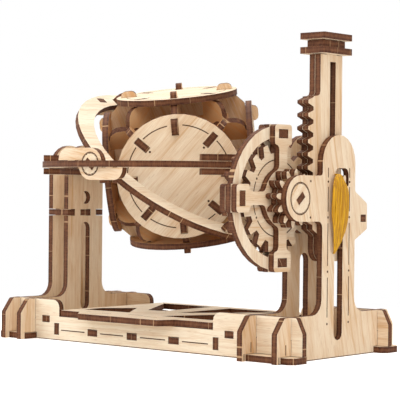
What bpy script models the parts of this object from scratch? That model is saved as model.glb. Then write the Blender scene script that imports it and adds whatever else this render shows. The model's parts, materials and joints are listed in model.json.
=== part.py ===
"""Wooden hand-pressed chooser: a plunger with a rack spins a cube hung in two rings, all cut from thin ply.

X runs along the base from the ring posts to the plunger, Y runs away from the viewer and Z is up.
Every size is in millimetres, and each outline is drawn in the plane of its own ply.
"""

import math

import bmesh
import bpy
from mathutils import Matrix, Vector

MM = 0.001
SAG = 0.12
EASE = 1.0
AXIS_MARK = 10.0

# Sheet and fits
PLY = 3.0
SEAT = 0.25
RUN = 0.3
SLOT = PLY + 2 * SEAT

# Base
BASE_HALF = 46.2
BASE_HEIGHT = 20.4
BASE_CHAMFER = (5.5, 7.0)
RAIL_INSET = 11.9
RAIL_Y = BASE_HALF - RAIL_INSET
RAIL_LOW = 12.0
RAIL_OVERHANG = 6.3
RAIL_CHAMFER = (3.5, 7.0)
RAISED_X = (-57.85, 43.85)
RAISED_FILLET = 4.0
HALVING_Z = 10.2
FLOOR_Z = 10.4
FLOOR_TENONS_X = (-67.45, 53.55)
FLOOR_TENON = 4.9
FLOOR_BORDER = 5.0
STIFFENER_Z = 5.3
STIFFENER_X = (-34.35, -7.65, 19.45)
STIFFENER_TENON = 6.2
STIFFENER_BORDER = (6.0, 8.0)
STIFFENER_FILLET = 3.0
CROSS_TIES_X = (-59.65, 45.55)
CROSS_TIE_TENON = (3.0, 8.4)
CROSS_TIE_BOTTOM = 1.0
FOOT_INSET = 3.0
FOOT_DEPTH = 13.2
FOOT_Y = (BASE_HALF - FOOT_INSET - FOOT_DEPTH, BASE_HALF - FOOT_INSET)
FOOT_LAP = 0.65
FOOT_CHAMFER = 2.5
TRAY_LIP_X = (-43.55, 20.3)
TRAY_LIP_Y = (RAIL_Y + 1.3, BASE_HALF - 2.2)
TRAY_SLANT = (7.0, 4.2)
LATTICE_WINDOWS = (
    ((-53.0, -22.5), (-24.0, -20.0), (-40.9, 4.0), (-53.0, -9.0)),
    ((-27.7, -2.0), (-18.5, 0.5), (-19.5, 38.5), (-52.5, 38.5)),
    ((-5.7, -4.0), (29.0, 37.0), (-5.7, 37.0)),
    ((1.0, -24.5), (38.5, -24.5), (38.5, 31.0), (31.0, 27.0)),
)

# Posts
COLUMN_HALF = 13.0
COLUMN_FILLET = 7.0
LEFT_GAP = 8.4
LEFT_TOP_Z = 100.0
RIGHT_TOP_Z = 103.4
SLOT_WIDTH = 6.6
LEFT_SLOT_Z = (13.0, 59.5)
INNER_SLOT_Z = (13.0, 48.0)
BAND_SLOT_Z = (8.0, 88.0)
SIGHT_HOLE = (3.5, 72.4)
SPACER_Z = 64.5
SPACER_TENONS = ((-13.0, -8.2), (-3.5, 3.5), (8.2, 13.0))
HUMP_Y = 23.0
HUMP_Z = (54.3, 59.4, 71.5, 77.2)
HUMP_TENON_Y = (18.0, 22.1)
HOOK_Z = (79.5, 84.6)
HOOK_WIDTH = 2.1
HOOK_CHANNEL = 2.2
HOOK_EASE = 0.8
BAND_SLOT_EASE = 3.0
BOSS_FILLET = (3.0, 1.5)

# Drive at the right-hand posts
DRIVE_Y = -29.9
DRIVE_Z = 73.8
BOSS_RADIUS = 10.5
BUSHING_RADIUS = 6.7
AXLE_WIDTH = 6.0
AXLE_TURN = math.radians(39)
ROUND_BORE = 3.75
PINION_TEETH = 12
PINION_MODULE = 1.92
RACK_ADDENDUM = 1.8
RACK_DEDENDUM = 2.2
TOOTH_THINNING = 0.14
PRESSURE_ANGLE = math.radians(20)
RACK_TEETH_ABOVE = 8
RACK_TEETH_BELOW = 2
RACK_SHIFT = 1.0
RATCHET_TEETH = 17
RATCHET_TIP = 25.1
RATCHET_ROOT = 20.7
RATCHET_SHARES = (0.66, 0.34)
HUB_RADIUS = 6.6
DOWEL_RADIUS = 0.9
DOWEL_CIRCLE = 5.2
DOWEL_SHORT = 0.4
FLYWHEEL_RADIUS = 33.5
FLYWHEEL_RIM = (27.5, 32.9)
RIM_CLEAR = 0.8
FLYWHEEL_BLOCK = 12.6
FLYWHEEL_BLOCK_DEPTH = 9.2
FLYWHEEL_SPOKE = 6.0
FLYWHEEL_HUB = 13.7
HUB_CORNERS = (math.radians(34), math.radians(56))
HUB_EASE = 12.0
YOKE_FILLETS = (2.5, 1.5)
BLOCK_PIN = (3.6, 6.4)
BLOCK_PIN_CIRCLE = 29.3
DRIVE_TEETH = 17
DRIVEN_TEETH = 8
GEAR_ADDENDUM_SHARE = 0.8
GEAR_WINDOW = (8.0, 15.0)
GEAR_WINDOW_TURN = (math.radians(15), math.radians(60))

# Plunger
PLUNGER_Y = (-11.0, 6.2)
PLUNGER_BOTTOM = 44.5
PLUNGER_STROKE = 36.8
PLUNGER_FOOT = (6.0, 3.0)
PLUNGER_STEP_Z = 121.3
PLUNGER_STEP_RISE = 0.6
PLUNGER_STEP_EASE = 2.0
RACK_RUNOUT = (2.0, -1.0)
PLUNGER_TENON = 8.0
KEY_Y = -1.3
KEY_Z = (95.6, 98.6)
KEY_SLOT_WIDTH = 4.4
KEY_SLOT_SPARE = 1.8
KEY_SLOT_WALL = 3.2
HEAD_SIZE = (14.2, 22.4)
HEAD_MIDDLE = (9.8, 17.2)
HEAD_CHAMFER = 0.5
PEG_Z = (50.5, 56.0)
BAND_RADIUS = 0.7

# Rings
AXIS_Z = 89.0
RINGS_X = -6.6
RING_OUTER = 70.5
RING_WIDTH = 9.0
RING_INNER = RING_OUTER - RING_WIDTH
RING_FLAT = RING_OUTER - RING_WIDTH / 2
RING_TONGUE = 6.0
RING_TO_POSTS = (2.45, 7.25)
RING_BUSHING_LEFT = 5.0
RING_BUSHING_RIGHT = 4.2
ARC_HALF_ANGLE = math.radians(42)
ARC_INSET = 0.4
TONGUE_LEFT = 0.4
TONGUE_RIGHT = -0.2
BEARING_INSET = 5.0
BEARING_Y = RING_OUTER - BEARING_INSET
BEARING_BOSS = 7.6
BEARING_ARM = 21.0
BEARING_BUSHING = 4.9
NOTCH_GAP = 0.9
NOTCH_RIM = BEARING_Y + PLY / 2 + NOTCH_GAP
HOOP_CLEARANCE = 2.1
HOOP_OUTER = RING_INNER - HOOP_CLEARANCE
HOOP_WIDTH = 8.7
HOOP_INNER = HOOP_OUTER - HOOP_WIDTH
HOOP_TILT = math.radians(37.1)
HOOP_BEARING_INSET = 6.0
HOOP_BEARING_X = HOOP_OUTER - HOOP_BEARING_INSET
HOOP_BOSS = 6.6
HOOP_ARM = 21.0
HOOP_BUSHING = 4.2
HOOP_NOTCH_GAP = 0.4
HOOP_NOTCH_RIM = HOOP_BEARING_X + PLY / 2 + HOOP_NOTCH_GAP
BEARING_TENON = 4.6
BEARING_TENON_X = 12.5
HOOP_TENON_X = 16.0
ARM_EASE = 0.5
AXLE_PROUD = 0.35

# Cube
CUBE_SPIN = math.radians(87.3)
DISC_RADIUS = 30.2
DISC_FACE = 36.9
TAB_CIRCLE = 24.0
TAB_LENGTH = 7.5
TAB_PROUD = 3.0
TAB_EASE = 2.4
CORNER_CIRCLE = 23.3
CORNER_TENON = 7.2
FRAME_HOLLOW = 25.0
FRAME_CUT = 29.3
LOBE_REACH = 33.5
LOBE_FOOT = 20.5
LOBE_RADII = (3.0, 8.0, 6.4)
SHY = 0.07
STUB = (5.0, 3.0)
STUB_START = 30.0

# Places worked out from the sizes above
PINION_RADIUS = PINION_MODULE * PINION_TEETH / 2
RACK_PITCH = math.pi * PINION_MODULE
RACK_LINE_Y = DRIVE_Y + PINION_RADIUS
KEY_SLOT_Z = (KEY_Z[0] - 2 * SEAT, KEY_Z[1] + PLUNGER_STROKE + KEY_SLOT_SPARE)
PLUNGER_SHOULDER = KEY_SLOT_Z[1] + KEY_SLOT_WALL
LEFT_INNER_FACE = RINGS_X - RING_FLAT - RING_TO_POSTS[0]
RIGHT_INNER_FACE = RINGS_X + RING_FLAT + RING_TO_POSTS[1]
STACK_START = RIGHT_INNER_FACE + PLY + RUN + PLY / 2
STACK_X = [STACK_START + layer * (PLY + RUN) for layer in range(5)]
RIGHT_INNER_X = RIGHT_INNER_FACE + PLY / 2
RIGHT_OUTER_X = STACK_X[4] + PLY + RUN
LEFT_INNER_X = LEFT_INNER_FACE - PLY / 2
LEFT_OUTER_X = LEFT_INNER_X - PLY - LEFT_GAP
POSTS_X = (LEFT_OUTER_X, LEFT_INNER_X, RIGHT_INNER_X, RIGHT_OUTER_X)
RAIL_REACH = PLY / 2 + RAIL_OVERHANG
RAIL_ENDS = (LEFT_OUTER_X - RAIL_REACH, RIGHT_OUTER_X + RAIL_REACH)
FOOT_INNER_X = (LEFT_INNER_FACE + FOOT_LAP, RIGHT_INNER_FACE - FOOT_LAP)
GEARS_X = RIGHT_INNER_FACE - RUN - PLY / 2
GEAR_DISTANCE = math.hypot(DRIVE_Y, AXIS_Z - DRIVE_Z)
GEAR_LINE = math.atan2(AXIS_Z - DRIVE_Z, -DRIVE_Y)
GEAR_MODULE = 2 * GEAR_DISTANCE / (DRIVE_TEETH + DRIVEN_TEETH)
DISC_MIDDLE = DISC_FACE - PLY / 2
FRAME_HALF = DISC_FACE - PLY - RUN


def new_collection(name):
    collection = bpy.data.collections.new(name)
    bpy.context.scene.collection.children.link(collection)
    return collection


def wood(name, colour, roughness):
    material = bpy.data.materials.new(name)
    material.use_nodes = True
    shader = material.node_tree.nodes["Principled BSDF"]
    shader.inputs["Base Color"].default_value = (*colour, 1)
    shader.inputs["Roughness"].default_value = roughness
    shader.inputs["Metallic"].default_value = 0
    return material


def empty(name, parent, place):
    """A frame on a joint's axis, which carries what moves on that joint."""
    frame = bpy.data.objects.new(name, None)
    frame.empty_display_size = AXIS_MARK * MM
    PARTS.objects.link(frame)
    frame.parent = parent
    frame.matrix_local = scaled(place)
    return frame


def scaled(place):
    """The same turn, with its offset in metres."""
    result = place.copy()
    result.translation = place.translation * MM
    return result


def facing_x(x, y=0.0, z=0.0):
    """A ply square to X: its own X is the world's Y and its own Y is up."""
    return Matrix.Translation((x, y, z)) @ basis((0, 1, 0), (0, 0, 1))


def facing_y(y, x=0.0, z=0.0):
    """A ply square to Y: its own X is the world's X and its own Y is up."""
    return Matrix.Translation((x, y, z)) @ basis((1, 0, 0), (0, 0, 1))


def flat(z, x=0.0, y=0.0):
    return Matrix.Translation((x, y, z))


def basis(across, up):
    """The turn that lays a ply's own X on across and its own Y on up."""
    across = Vector(across).normalized()
    up = Vector(up).normalized()
    return Matrix((across, up, across.cross(up))).transposed().to_4x4()


def arc(radius, start, end, x=0.0, y=0.0):
    """Points along a circle from one angle to another, close enough that no chord strays by more than SAG."""
    widest = 2 * math.acos(1 - min(0.3, SAG / radius))
    steps = max(1, math.ceil(abs(end - start) / widest - 0.1))
    angles = [start + (end - start) * step / steps for step in range(steps + 1)]
    return [(x + radius * math.cos(a), y + radius * math.sin(a)) for a in angles]


def circle(radius, x=0.0, y=0.0):
    return arc(radius, 0.0, 2 * math.pi, x, y)[:-1]


def turned(loop, angle, x=0.0, y=0.0):
    """The loop turned about its own origin and then moved."""
    c, s = math.cos(angle), math.sin(angle)
    return [(x + c * px - s * py, y + s * px + c * py) for px, py in loop]


def rectangle(width, height, x=0.0, y=0.0, angle=0.0):
    w, h = width / 2, height / 2
    return turned([(-w, -h), (w, -h), (w, h), (-w, h)], angle, x, y)


def rounded(corners):
    """The outline through (x, y, radius) corners, each one eased by an arc of its radius."""
    loop = []
    for i, (x, y, radius) in enumerate(corners):
        here = Vector((x, y))
        if radius == 0:
            loop.append((x, y))
            continue
        before = (Vector(corners[i - 1][:2]) - here).normalized()
        after = (Vector(corners[(i + 1) % len(corners)][:2]) - here).normalized()
        half = before.angle(after) / 2
        centre = here + (before + after).normalized() * radius / math.sin(half)
        start = here + before * radius / math.tan(half) - centre
        sweep = math.copysign(math.pi - 2 * half, -before.cross(after))
        first = math.atan2(start.y, start.x)
        loop += arc(radius, first, first + sweep, centre.x, centre.y)
    return loop


def slot(width, low, high, x=0.0):
    """An upright slot with round ends."""
    r = width / 2
    return rounded([(x - r, low, r), (x + r, low, r), (x + r, high, r), (x - r, high, r)])


def distinct(loop):
    """The loop without points that lie on the one before."""
    kept = [p for i, p in enumerate(loop) if math.dist(p, loop[i - 1]) > 0.01]
    return kept


def plate(name, loops, place, parent=None, material=None, thickness=PLY):
    """One ply cut to the first loop, with the other loops as holes, its middle plane laid on place."""
    data = bpy.data.curves.new(name, "CURVE")
    data.dimensions = "2D"
    data.fill_mode = "BOTH"
    data.extrude = thickness * MM / 2
    for loop in loops:
        points = distinct(loop)
        spline = data.splines.new("POLY")
        spline.points.add(len(points) - 1)
        for point, (x, y) in zip(spline.points, points):
            point.co = (x * MM, y * MM, 0, 1)
        spline.use_cyclic_u = True
    data.materials.append(material or BIRCH)
    obj = bpy.data.objects.new(name, data)
    PARTS.objects.link(obj)
    obj.parent = parent
    obj.matrix_local = scaled(place)
    return obj


def as_mesh(obj):
    """The curve object made a closed mesh, under the same name and in the same place."""
    bpy.context.view_layer.update()
    name, parent, place = obj.name, obj.parent, obj.matrix_local.copy()
    graph = bpy.context.evaluated_depsgraph_get()
    mesh = bpy.data.meshes.new_from_object(obj.evaluated_get(graph))
    bpy.data.objects.remove(obj)
    solid = bpy.data.objects.new(name, mesh)
    solid.name = name
    PARTS.objects.link(solid)
    solid.parent = parent
    solid.matrix_local = place
    weld(mesh)
    return solid


def weld(mesh):
    shape = bmesh.new()
    shape.from_mesh(mesh)
    bmesh.ops.remove_doubles(shape, verts=shape.verts, dist=0.0000005)
    bmesh.ops.recalc_face_normals(shape, faces=shape.faces)
    shape.to_mesh(mesh)
    shape.free()


def fuse(base, others):
    """The base with the other plies joined to it by Boolean unions."""
    solid = as_mesh(base)
    for other in others:
        tool = as_mesh(other)
        PARTS.objects.unlink(tool)
        CUTTERS.objects.link(tool)
        tool.hide_render = True
        tool.display_type = "WIRE"
        union = solid.modifiers.new(tool.name, "BOOLEAN")
        union.operation = "UNION"
        union.solver = "MANIFOLD"
        union.object = tool
    return solid


def gear(teeth, module, addendum, dedendum, turn=0.0):
    """An involute outline, with one tooth centred on the turn angle."""
    pitch = module * teeth / 2
    base = pitch * math.cos(PRESSURE_ANGLE)
    tip, root = pitch + addendum, pitch - dedendum
    foot = max(base, root)
    half = math.pi / (2 * teeth) - TOOTH_THINNING / pitch
    involute = math.tan(PRESSURE_ANGLE) - PRESSURE_ANGLE
    flank = []
    for step in range(3):
        radius = foot + (tip - foot) * step / 2
        slope = math.acos(min(1.0, base / radius))
        flank.append((radius, half + involute - (math.tan(slope) - slope)))
    if root < foot:
        flank.insert(0, (root, flank[0][1]))
    loop = []
    for tooth in range(teeth):
        middle = turn + 2 * math.pi * tooth / teeth
        side = [(r, middle - a) for r, a in flank] + [(r, middle + a) for r, a in reversed(flank)]
        loop += [(r * math.cos(a), r * math.sin(a)) for r, a in side]
    return loop


def toothed(teeth, root, tip, foot_share, tip_share, turn=0.0):
    """A ring of straight-sided teeth; the shares are of the pitch."""
    pitch = 2 * math.pi / teeth
    sides = ((root, -foot_share), (tip, -tip_share), (tip, tip_share), (root, foot_share))
    loop = []
    for tooth in range(teeth):
        for radius, share in sides:
            angle = turn + (tooth + share / 2) * pitch
            loop.append((radius * math.cos(angle), radius * math.sin(angle)))
    return loop


def window(inner, outer, start, end):
    """A hole between two radii and two angles."""
    return arc(outer, start, end) + arc(inner, end, start)


def edge_slot(x, low, high):
    """Points of a halving slot that comes down from an edge at high, walked towards -X."""
    r = SLOT / 2
    return [(x + r, high, 0), (x + r, low, 0), (x - r, low, 0), (x - r, high, 0)]


def post_outline(top, front_edge=(), back_edge=()):
    """A post: a round-topped column on a wide foot, with halving slots where the rails cross."""
    dx, dz = BASE_CHAMFER
    foot_top = BASE_HEIGHT
    shoulder = foot_top - dz
    right = [(BASE_HALF, 0, 0), (BASE_HALF, shoulder, EASE), (BASE_HALF - dx, foot_top, EASE)]
    right += edge_slot(RAIL_Y, HALVING_Z, foot_top)
    left = edge_slot(-RAIL_Y, HALVING_Z, foot_top)
    left += [(dx - BASE_HALF, foot_top, EASE), (-BASE_HALF, shoulder, EASE), (-BASE_HALF, 0, 0)]
    left += foot_notches()
    column_up = [(COLUMN_HALF, foot_top, COLUMN_FILLET), *back_edge]
    column_up += [(COLUMN_HALF, top, COLUMN_HALF), (-COLUMN_HALF, top, COLUMN_HALF)]
    column_down = [*front_edge, (-COLUMN_HALF, foot_top, COLUMN_FILLET)]
    return rounded(right + column_up + column_down + left)


def foot_notches():
    """The two notches in a post's lower edge that let it stand over the foot plates."""
    near, far, high = FOOT_Y[0] - SEAT, FOOT_Y[1] + SEAT, PLY + SEAT
    front = [(-far, 0, 0), (-far, high, 0), (-near, high, 0), (-near, 0, 0)]
    return front + [(-y, z, 0) for y, z, _ in reversed(front)]


def boss_edge():
    """The arm on a right-hand post that reaches out to the drive axle."""
    high, low, end = DRIVE_Z + BOSS_RADIUS, DRIVE_Z - BOSS_RADIUS, DRIVE_Y - BOSS_RADIUS
    return [
        (-COLUMN_HALF, high, BOSS_FILLET[1]),
        (end, high, BOSS_RADIUS),
        (end, low, BOSS_RADIUS),
        (-COLUMN_HALF, low, BOSS_FILLET[0]),
    ]


def hump_edge():
    """The swelling on the back edge of a right-hand post, where its spacer comes through."""
    low, flat_low, flat_high, high = HUMP_Z
    return [
        (COLUMN_HALF, low, EASE),
        (HUMP_Y, flat_low, EASE),
        (HUMP_Y, flat_high, EASE),
        (COLUMN_HALF, high, EASE),
    ]


def spacer_edge(side):
    """A notch for the spacer's outer tenon in one edge of a left-hand post."""
    half = SLOT / 2
    depth = SPACER_TENONS[2][0] - SEAT
    low, high = SPACER_Z - half, SPACER_Z + half
    points = [(COLUMN_HALF, low, 0), (depth, low, 0), (depth, high, 0), (COLUMN_HALF, high, 0)]
    if side > 0:
        return points
    return [(-y, z, 0) for y, z, _ in reversed(points)]


def band_slot():
    """The slot that the band lies in, with a hook cut beside its top."""
    r = SLOT_WIDTH / 2
    low, high = BAND_SLOT_Z
    foot, tip = HOOK_Z
    channel = r + HOOK_WIDTH
    far = channel + HOOK_CHANNEL
    return rounded(
        [
            (-r, low, r),
            (r, low, r),
            (r, tip, HOOK_EASE),
            (channel, tip, HOOK_EASE),
            (channel, foot, HOOK_EASE),
            (far, foot, HOOK_EASE),
            (far, high, BAND_SLOT_EASE),
            (-r, high, BAND_SLOT_EASE),
        ]
    )


def make_posts():
    bearing = circle(RING_BUSHING_LEFT + SEAT, 0, AXIS_Z)
    sight = circle(SIGHT_HOLE[0], 0, SIGHT_HOLE[1])
    middle = rectangle(SPACER_TENONS[1][1] * 2 + 2 * SEAT, SLOT, 0, SPACER_Z)
    left_outline = post_outline(LEFT_TOP_Z, spacer_edge(-1), spacer_edge(1))
    left_loops = [left_outline, bearing, sight, middle, slot(SLOT_WIDTH, *LEFT_SLOT_Z)]
    plate("left_outer_post", left_loops, facing_x(LEFT_OUTER_X))
    plate("left_inner_post", left_loops, facing_x(LEFT_INNER_X))

    outline = post_outline(RIGHT_TOP_Z, boss_edge(), hump_edge())
    axle_hole = circle(BUSHING_RADIUS + SEAT, DRIVE_Y, DRIVE_Z)
    low, high = HUMP_TENON_Y
    tie_hole = rectangle(high - low + SEAT, SLOT, (low + high) / 2 - SEAT / 2, SPACER_Z)
    plate("right_outer_post", [outline, axle_hole, tie_hole, band_slot()], facing_x(RIGHT_OUTER_X))
    key_hole = rectangle(SLOT, KEY_Z[1] - KEY_Z[0] + 2 * SEAT, KEY_Y, sum(KEY_Z) / 2)
    shaft_hole = circle(RING_BUSHING_RIGHT + SEAT, 0, AXIS_Z)
    holes = [axle_hole, tie_hole, key_hole, shaft_hole, slot(SLOT_WIDTH, *INNER_SLOT_Z)]
    plate("right_inner_post", [outline, *holes], facing_x(RIGHT_INNER_X))


def comb(width, tenons, reach, half):
    """A spacer seen from above: its body lies between two posts and its tenons reach through them."""
    low, high = width
    up = [(half, low)]
    down = []
    for a, b in tenons:
        up += [(half, a), (reach, a), (reach, b), (half, b)]
        down = [(-half, b), (-reach, b), (-reach, a), (-half, a)] + down
    return up + [(half, high), (-half, high)] + down + [(-half, low)]


def make_spacers():
    middle = (LEFT_OUTER_X + LEFT_INNER_X) / 2
    half = (LEFT_INNER_X - LEFT_OUTER_X) / 2 - PLY / 2 - SEAT
    edge = SPACER_TENONS[2][1]
    loop = comb((-edge, edge), SPACER_TENONS, half + PLY + SEAT, half)
    plate("left_spacer", [loop], flat(SPACER_Z, middle))

    middle = (RIGHT_INNER_X + RIGHT_OUTER_X) / 2
    half = (RIGHT_OUTER_X - RIGHT_INNER_X) / 2 - PLY / 2 - SEAT
    low, high = HUMP_TENON_Y[0], HUMP_TENON_Y[1] - SEAT
    width = (PLUNGER_Y[1] + 2 * RUN, high)
    loop = comb(width, [(low, high)], half + PLY + SEAT, half)
    plate("right_spacer", [loop], flat(SPACER_Z, middle))

    start = RIGHT_INNER_FACE
    end = RIGHT_OUTER_X - PLY / 2 - RUN
    loop = rectangle(end - start, KEY_Z[1] - KEY_Z[0], (start + end) / 2, sum(KEY_Z) / 2)
    plate("plunger_guide_key", [loop], facing_y(KEY_Y))


def rail_outline():
    """A rail: low in the middle, raised at both ends, with halving slots for the four posts."""
    start, end = RAIL_ENDS
    inner_left, inner_right = FOOT_INNER_X[0] + SEAT, FOOT_INNER_X[1] - SEAT
    foot = PLY + SEAT
    left, right = RAISED_X
    dx, dz = RAIL_CHAMFER
    shoulder = BASE_HEIGHT - dz
    points = [(start, foot, 0)]
    for x in POSTS_X:
        r = SLOT / 2
        high = HALVING_Z + SEAT
        if x == RIGHT_INNER_X:
            points += [(inner_left, foot, 0), (inner_left, 0, 0)]
            points += [(inner_right, 0, 0), (inner_right, foot, 0)]
        points += [(x - r, foot, 0), (x - r, high, 0), (x + r, high, 0), (x + r, foot, 0)]
    points += [(end, foot, 0), (end, shoulder, EASE), (end - dx, BASE_HEIGHT, EASE)]
    points += [(right, BASE_HEIGHT, RAISED_FILLET), (right, RAIL_LOW, 0)]
    points += [(left, RAIL_LOW, 0), (left, BASE_HEIGHT, RAISED_FILLET)]
    points += [(start + dx, BASE_HEIGHT, EASE), (start, shoulder, EASE)]
    return rounded(points)


def make_rails():
    loops = [rail_outline()]
    for x in FLOOR_TENONS_X:
        loops.append(rectangle(FLOOR_TENON + 2 * SEAT, SLOT, x, FLOOR_Z))
    for x in STIFFENER_X:
        loops.append(rectangle(STIFFENER_TENON + 2 * SEAT, SLOT, x, STIFFENER_Z))
    low, high = CROSS_TIE_TENON
    for x in CROSS_TIES_X:
        loops.append(rectangle(SLOT, high - low + 2 * SEAT, x, (low + high) / 2))
    plate("front_rail", loops, facing_y(-RAIL_Y))
    plate("rear_rail", loops, facing_y(RAIL_Y))


def tenoned(start, end, half, tenons, width, reach):
    """A panel between the rails: half is to its edge, reach is to its tenons' ends."""
    low, high = [(start, -half)], [(end, half)]
    for x in tenons:
        a, b = x - width / 2, x + width / 2
        low += [(a, -half), (a, -reach), (b, -reach), (b, -half)]
        high += [(b, half), (b, reach), (a, reach), (a, half)]
    tail = [(start, half)]
    front = low + [(end, -half)]
    back = [high[0]]
    groups = [high[1 + 4 * i : 5 + 4 * i] for i in range(len(tenons))]
    for group in reversed(groups):
        back += group
    return front + back + tail


def lattice_windows(limit):
    """The windows of the lattice, kept within limit of the middle line."""
    return [[(x, max(-limit, min(limit, y))) for x, y in corners] for corners in LATTICE_WINDOWS]


def make_base_panels():
    inner = RAIL_Y - PLY / 2 - SEAT
    reach = RAIL_Y + PLY / 2
    start, end = LEFT_INNER_FACE + RUN, RIGHT_INNER_FACE - RUN
    outline = tenoned(start, end, inner, FLOOR_TENONS_X, FLOOR_TENON, reach)
    loops = [outline, *lattice_windows(inner - FLOOR_BORDER)]
    plate("lattice_floor", loops, flat(FLOOR_Z))

    margin = STIFFENER_TENON
    start, end = STIFFENER_X[0] - margin, STIFFENER_X[-1] + margin
    outline = tenoned(start, end, inner, STIFFENER_X, STIFFENER_TENON, reach)
    across, along = STIFFENER_BORDER
    a, b, side = start + across, end - across, inner - along
    corners = ((a, -side), (b, -side), (b, side), (a, side))
    hole = rounded([(x, y, STIFFENER_FILLET) for x, y in corners])
    plate("floor_stiffener", [outline, hole], flat(STIFFENER_Z - SEAT / 2))

    low, high = CROSS_TIE_TENON
    top = FLOOR_Z - PLY / 2 - RUN
    loop = [(inner, CROSS_TIE_BOTTOM), (inner, low), (reach, low)]
    loop += [(reach, high), (inner, high), (inner, top)]
    loop += [(-y, z) for y, z in reversed(loop)]
    for side, x in zip(("left", "right"), CROSS_TIES_X):
        plate("cross_tie_" + side, [loop], facing_x(x))

    shy, proud = TRAY_LIP_Y
    left, right = TRAY_LIP_X
    start, end = RAISED_X[0] + RUN, RAISED_X[1] - RUN
    loop = [(start, -shy), (left, -shy), (left + TRAY_SLANT[0], -proud)]
    loop += [(right - TRAY_SLANT[1], -proud), (right, -shy), (end, -shy)]
    loop += [(end, proud), (start, proud)]
    loops = [rounded([(x, y, EASE) for x, y in loop]), *lattice_windows(proud - FLOOR_BORDER)]
    plate("front_tray", loops, flat(RAIL_LOW + RUN + PLY / 2))


def make_feet():
    """Four foot plates that lie under the ends of the rails, where the posts stand over them."""
    near, far = FOOT_Y
    c = FOOT_CHAMFER
    for end, inner, outer in zip(("left", "right"), FOOT_INNER_X, RAIL_ENDS):
        cut = math.copysign(c, inner - outer)
        points = [(inner, near), (inner, far), (outer + cut, far)]
        points += [(outer, far - c), (outer, near + c), (outer + cut, near)]
        for side, sign in (("front", -1), ("rear", 1)):
            loop = [(x, sign * y) for x, y in points]
            plate(f"{side}_{end}_foot", [loop], flat(PLY / 2))


def rack_outline():
    """The plunger's ply: a plain neck above, a toothed edge below it, and a tenon for the head."""
    front, back = PLUNGER_Y
    middle = (front + back) / 2
    tenon = PLUNGER_TENON / 2
    top = PLUNGER_SHOULDER + 3 * (PLY + RUN) - SEAT
    root, tip = RACK_LINE_Y + RACK_DEDENDUM, RACK_LINE_Y - RACK_ADDENDUM
    half = RACK_PITCH / 4 - TOOTH_THINNING
    lean = math.tan(PRESSURE_ANGLE)
    wide, narrow = half + RACK_DEDENDUM * lean, half - RACK_ADDENDUM * lean
    points = [(front, PLUNGER_BOTTOM, PLUNGER_FOOT[0]), (back, PLUNGER_BOTTOM, PLUNGER_FOOT[1])]
    points.append((back, PLUNGER_SHOULDER, 0))
    points += [(middle + tenon, PLUNGER_SHOULDER, 0), (middle + tenon, top, 0)]
    points += [(middle - tenon, top, 0), (middle - tenon, PLUNGER_SHOULDER, 0)]
    points += [(front, PLUNGER_SHOULDER, 0), (front, PLUNGER_STEP_Z, PLUNGER_STEP_EASE)]
    points.append((root, PLUNGER_STEP_Z - PLUNGER_STEP_RISE, 0))
    for tooth in range(RACK_TEETH_ABOVE, -RACK_TEETH_BELOW, -1):
        z = DRIVE_Z - RACK_SHIFT + (tooth - 0.5) * RACK_PITCH
        points += [(root, z + wide, 0), (tip, z + narrow, 0)]
        points += [(tip, z - narrow, 0), (root, z - wide, 0)]
    end = DRIVE_Z - RACK_SHIFT - (RACK_TEETH_BELOW + 0.5) * RACK_PITCH
    points += [(root, end + RACK_RUNOUT[0], 0), (front, end + RACK_RUNOUT[1], EASE)]
    return rounded(points)


def make_plunger(frame):
    low, high = KEY_SLOT_Z
    key_slot = rectangle(KEY_SLOT_WIDTH, high - low, KEY_Y, (low + high) / 2)
    peg_hole = rectangle(SLOT, PEG_Z[1] - PEG_Z[0] + 2 * SEAT, 0, sum(PEG_Z) / 2)
    loops = [rack_outline(), key_slot, peg_hole]
    plate("rack_inner_ply", loops, facing_x(STACK_X[3]), frame)
    plate("rack_outer_ply", loops, facing_x(STACK_X[4]), frame)

    start, end = STACK_X[3] - PLY / 2 + SEAT, RIGHT_OUTER_X + PLY / 2 + RUN
    loop = rectangle(end - start, PEG_Z[1] - PEG_Z[0], (start + end) / 2, sum(PEG_Z) / 2)
    plate("band_peg", [loop], facing_y(0), frame)

    middle_x = (STACK_X[3] + STACK_X[4]) / 2
    middle_y = sum(PLUNGER_Y) / 2
    mortise = rectangle(2 * PLY + RUN + 2 * SEAT, PLUNGER_TENON + 2 * SEAT)
    heads = (("lower", HEAD_SIZE), ("middle", HEAD_MIDDLE), ("top", HEAD_SIZE))
    for layer, (level, (length, width)) in enumerate(heads):
        x, y, c = length / 2, width / 2, HEAD_CHAMFER
        loop = [(x - c, -y), (x, c - y), (x, y - c), (x - c, y)]
        loop += [(-px, -py) for px, py in loop]
        z = PLUNGER_SHOULDER + RUN + PLY / 2 + layer * (PLY + RUN)
        plate(f"head_{level}_plate", [loop, mortise], flat(z, middle_x, middle_y), frame)


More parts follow.
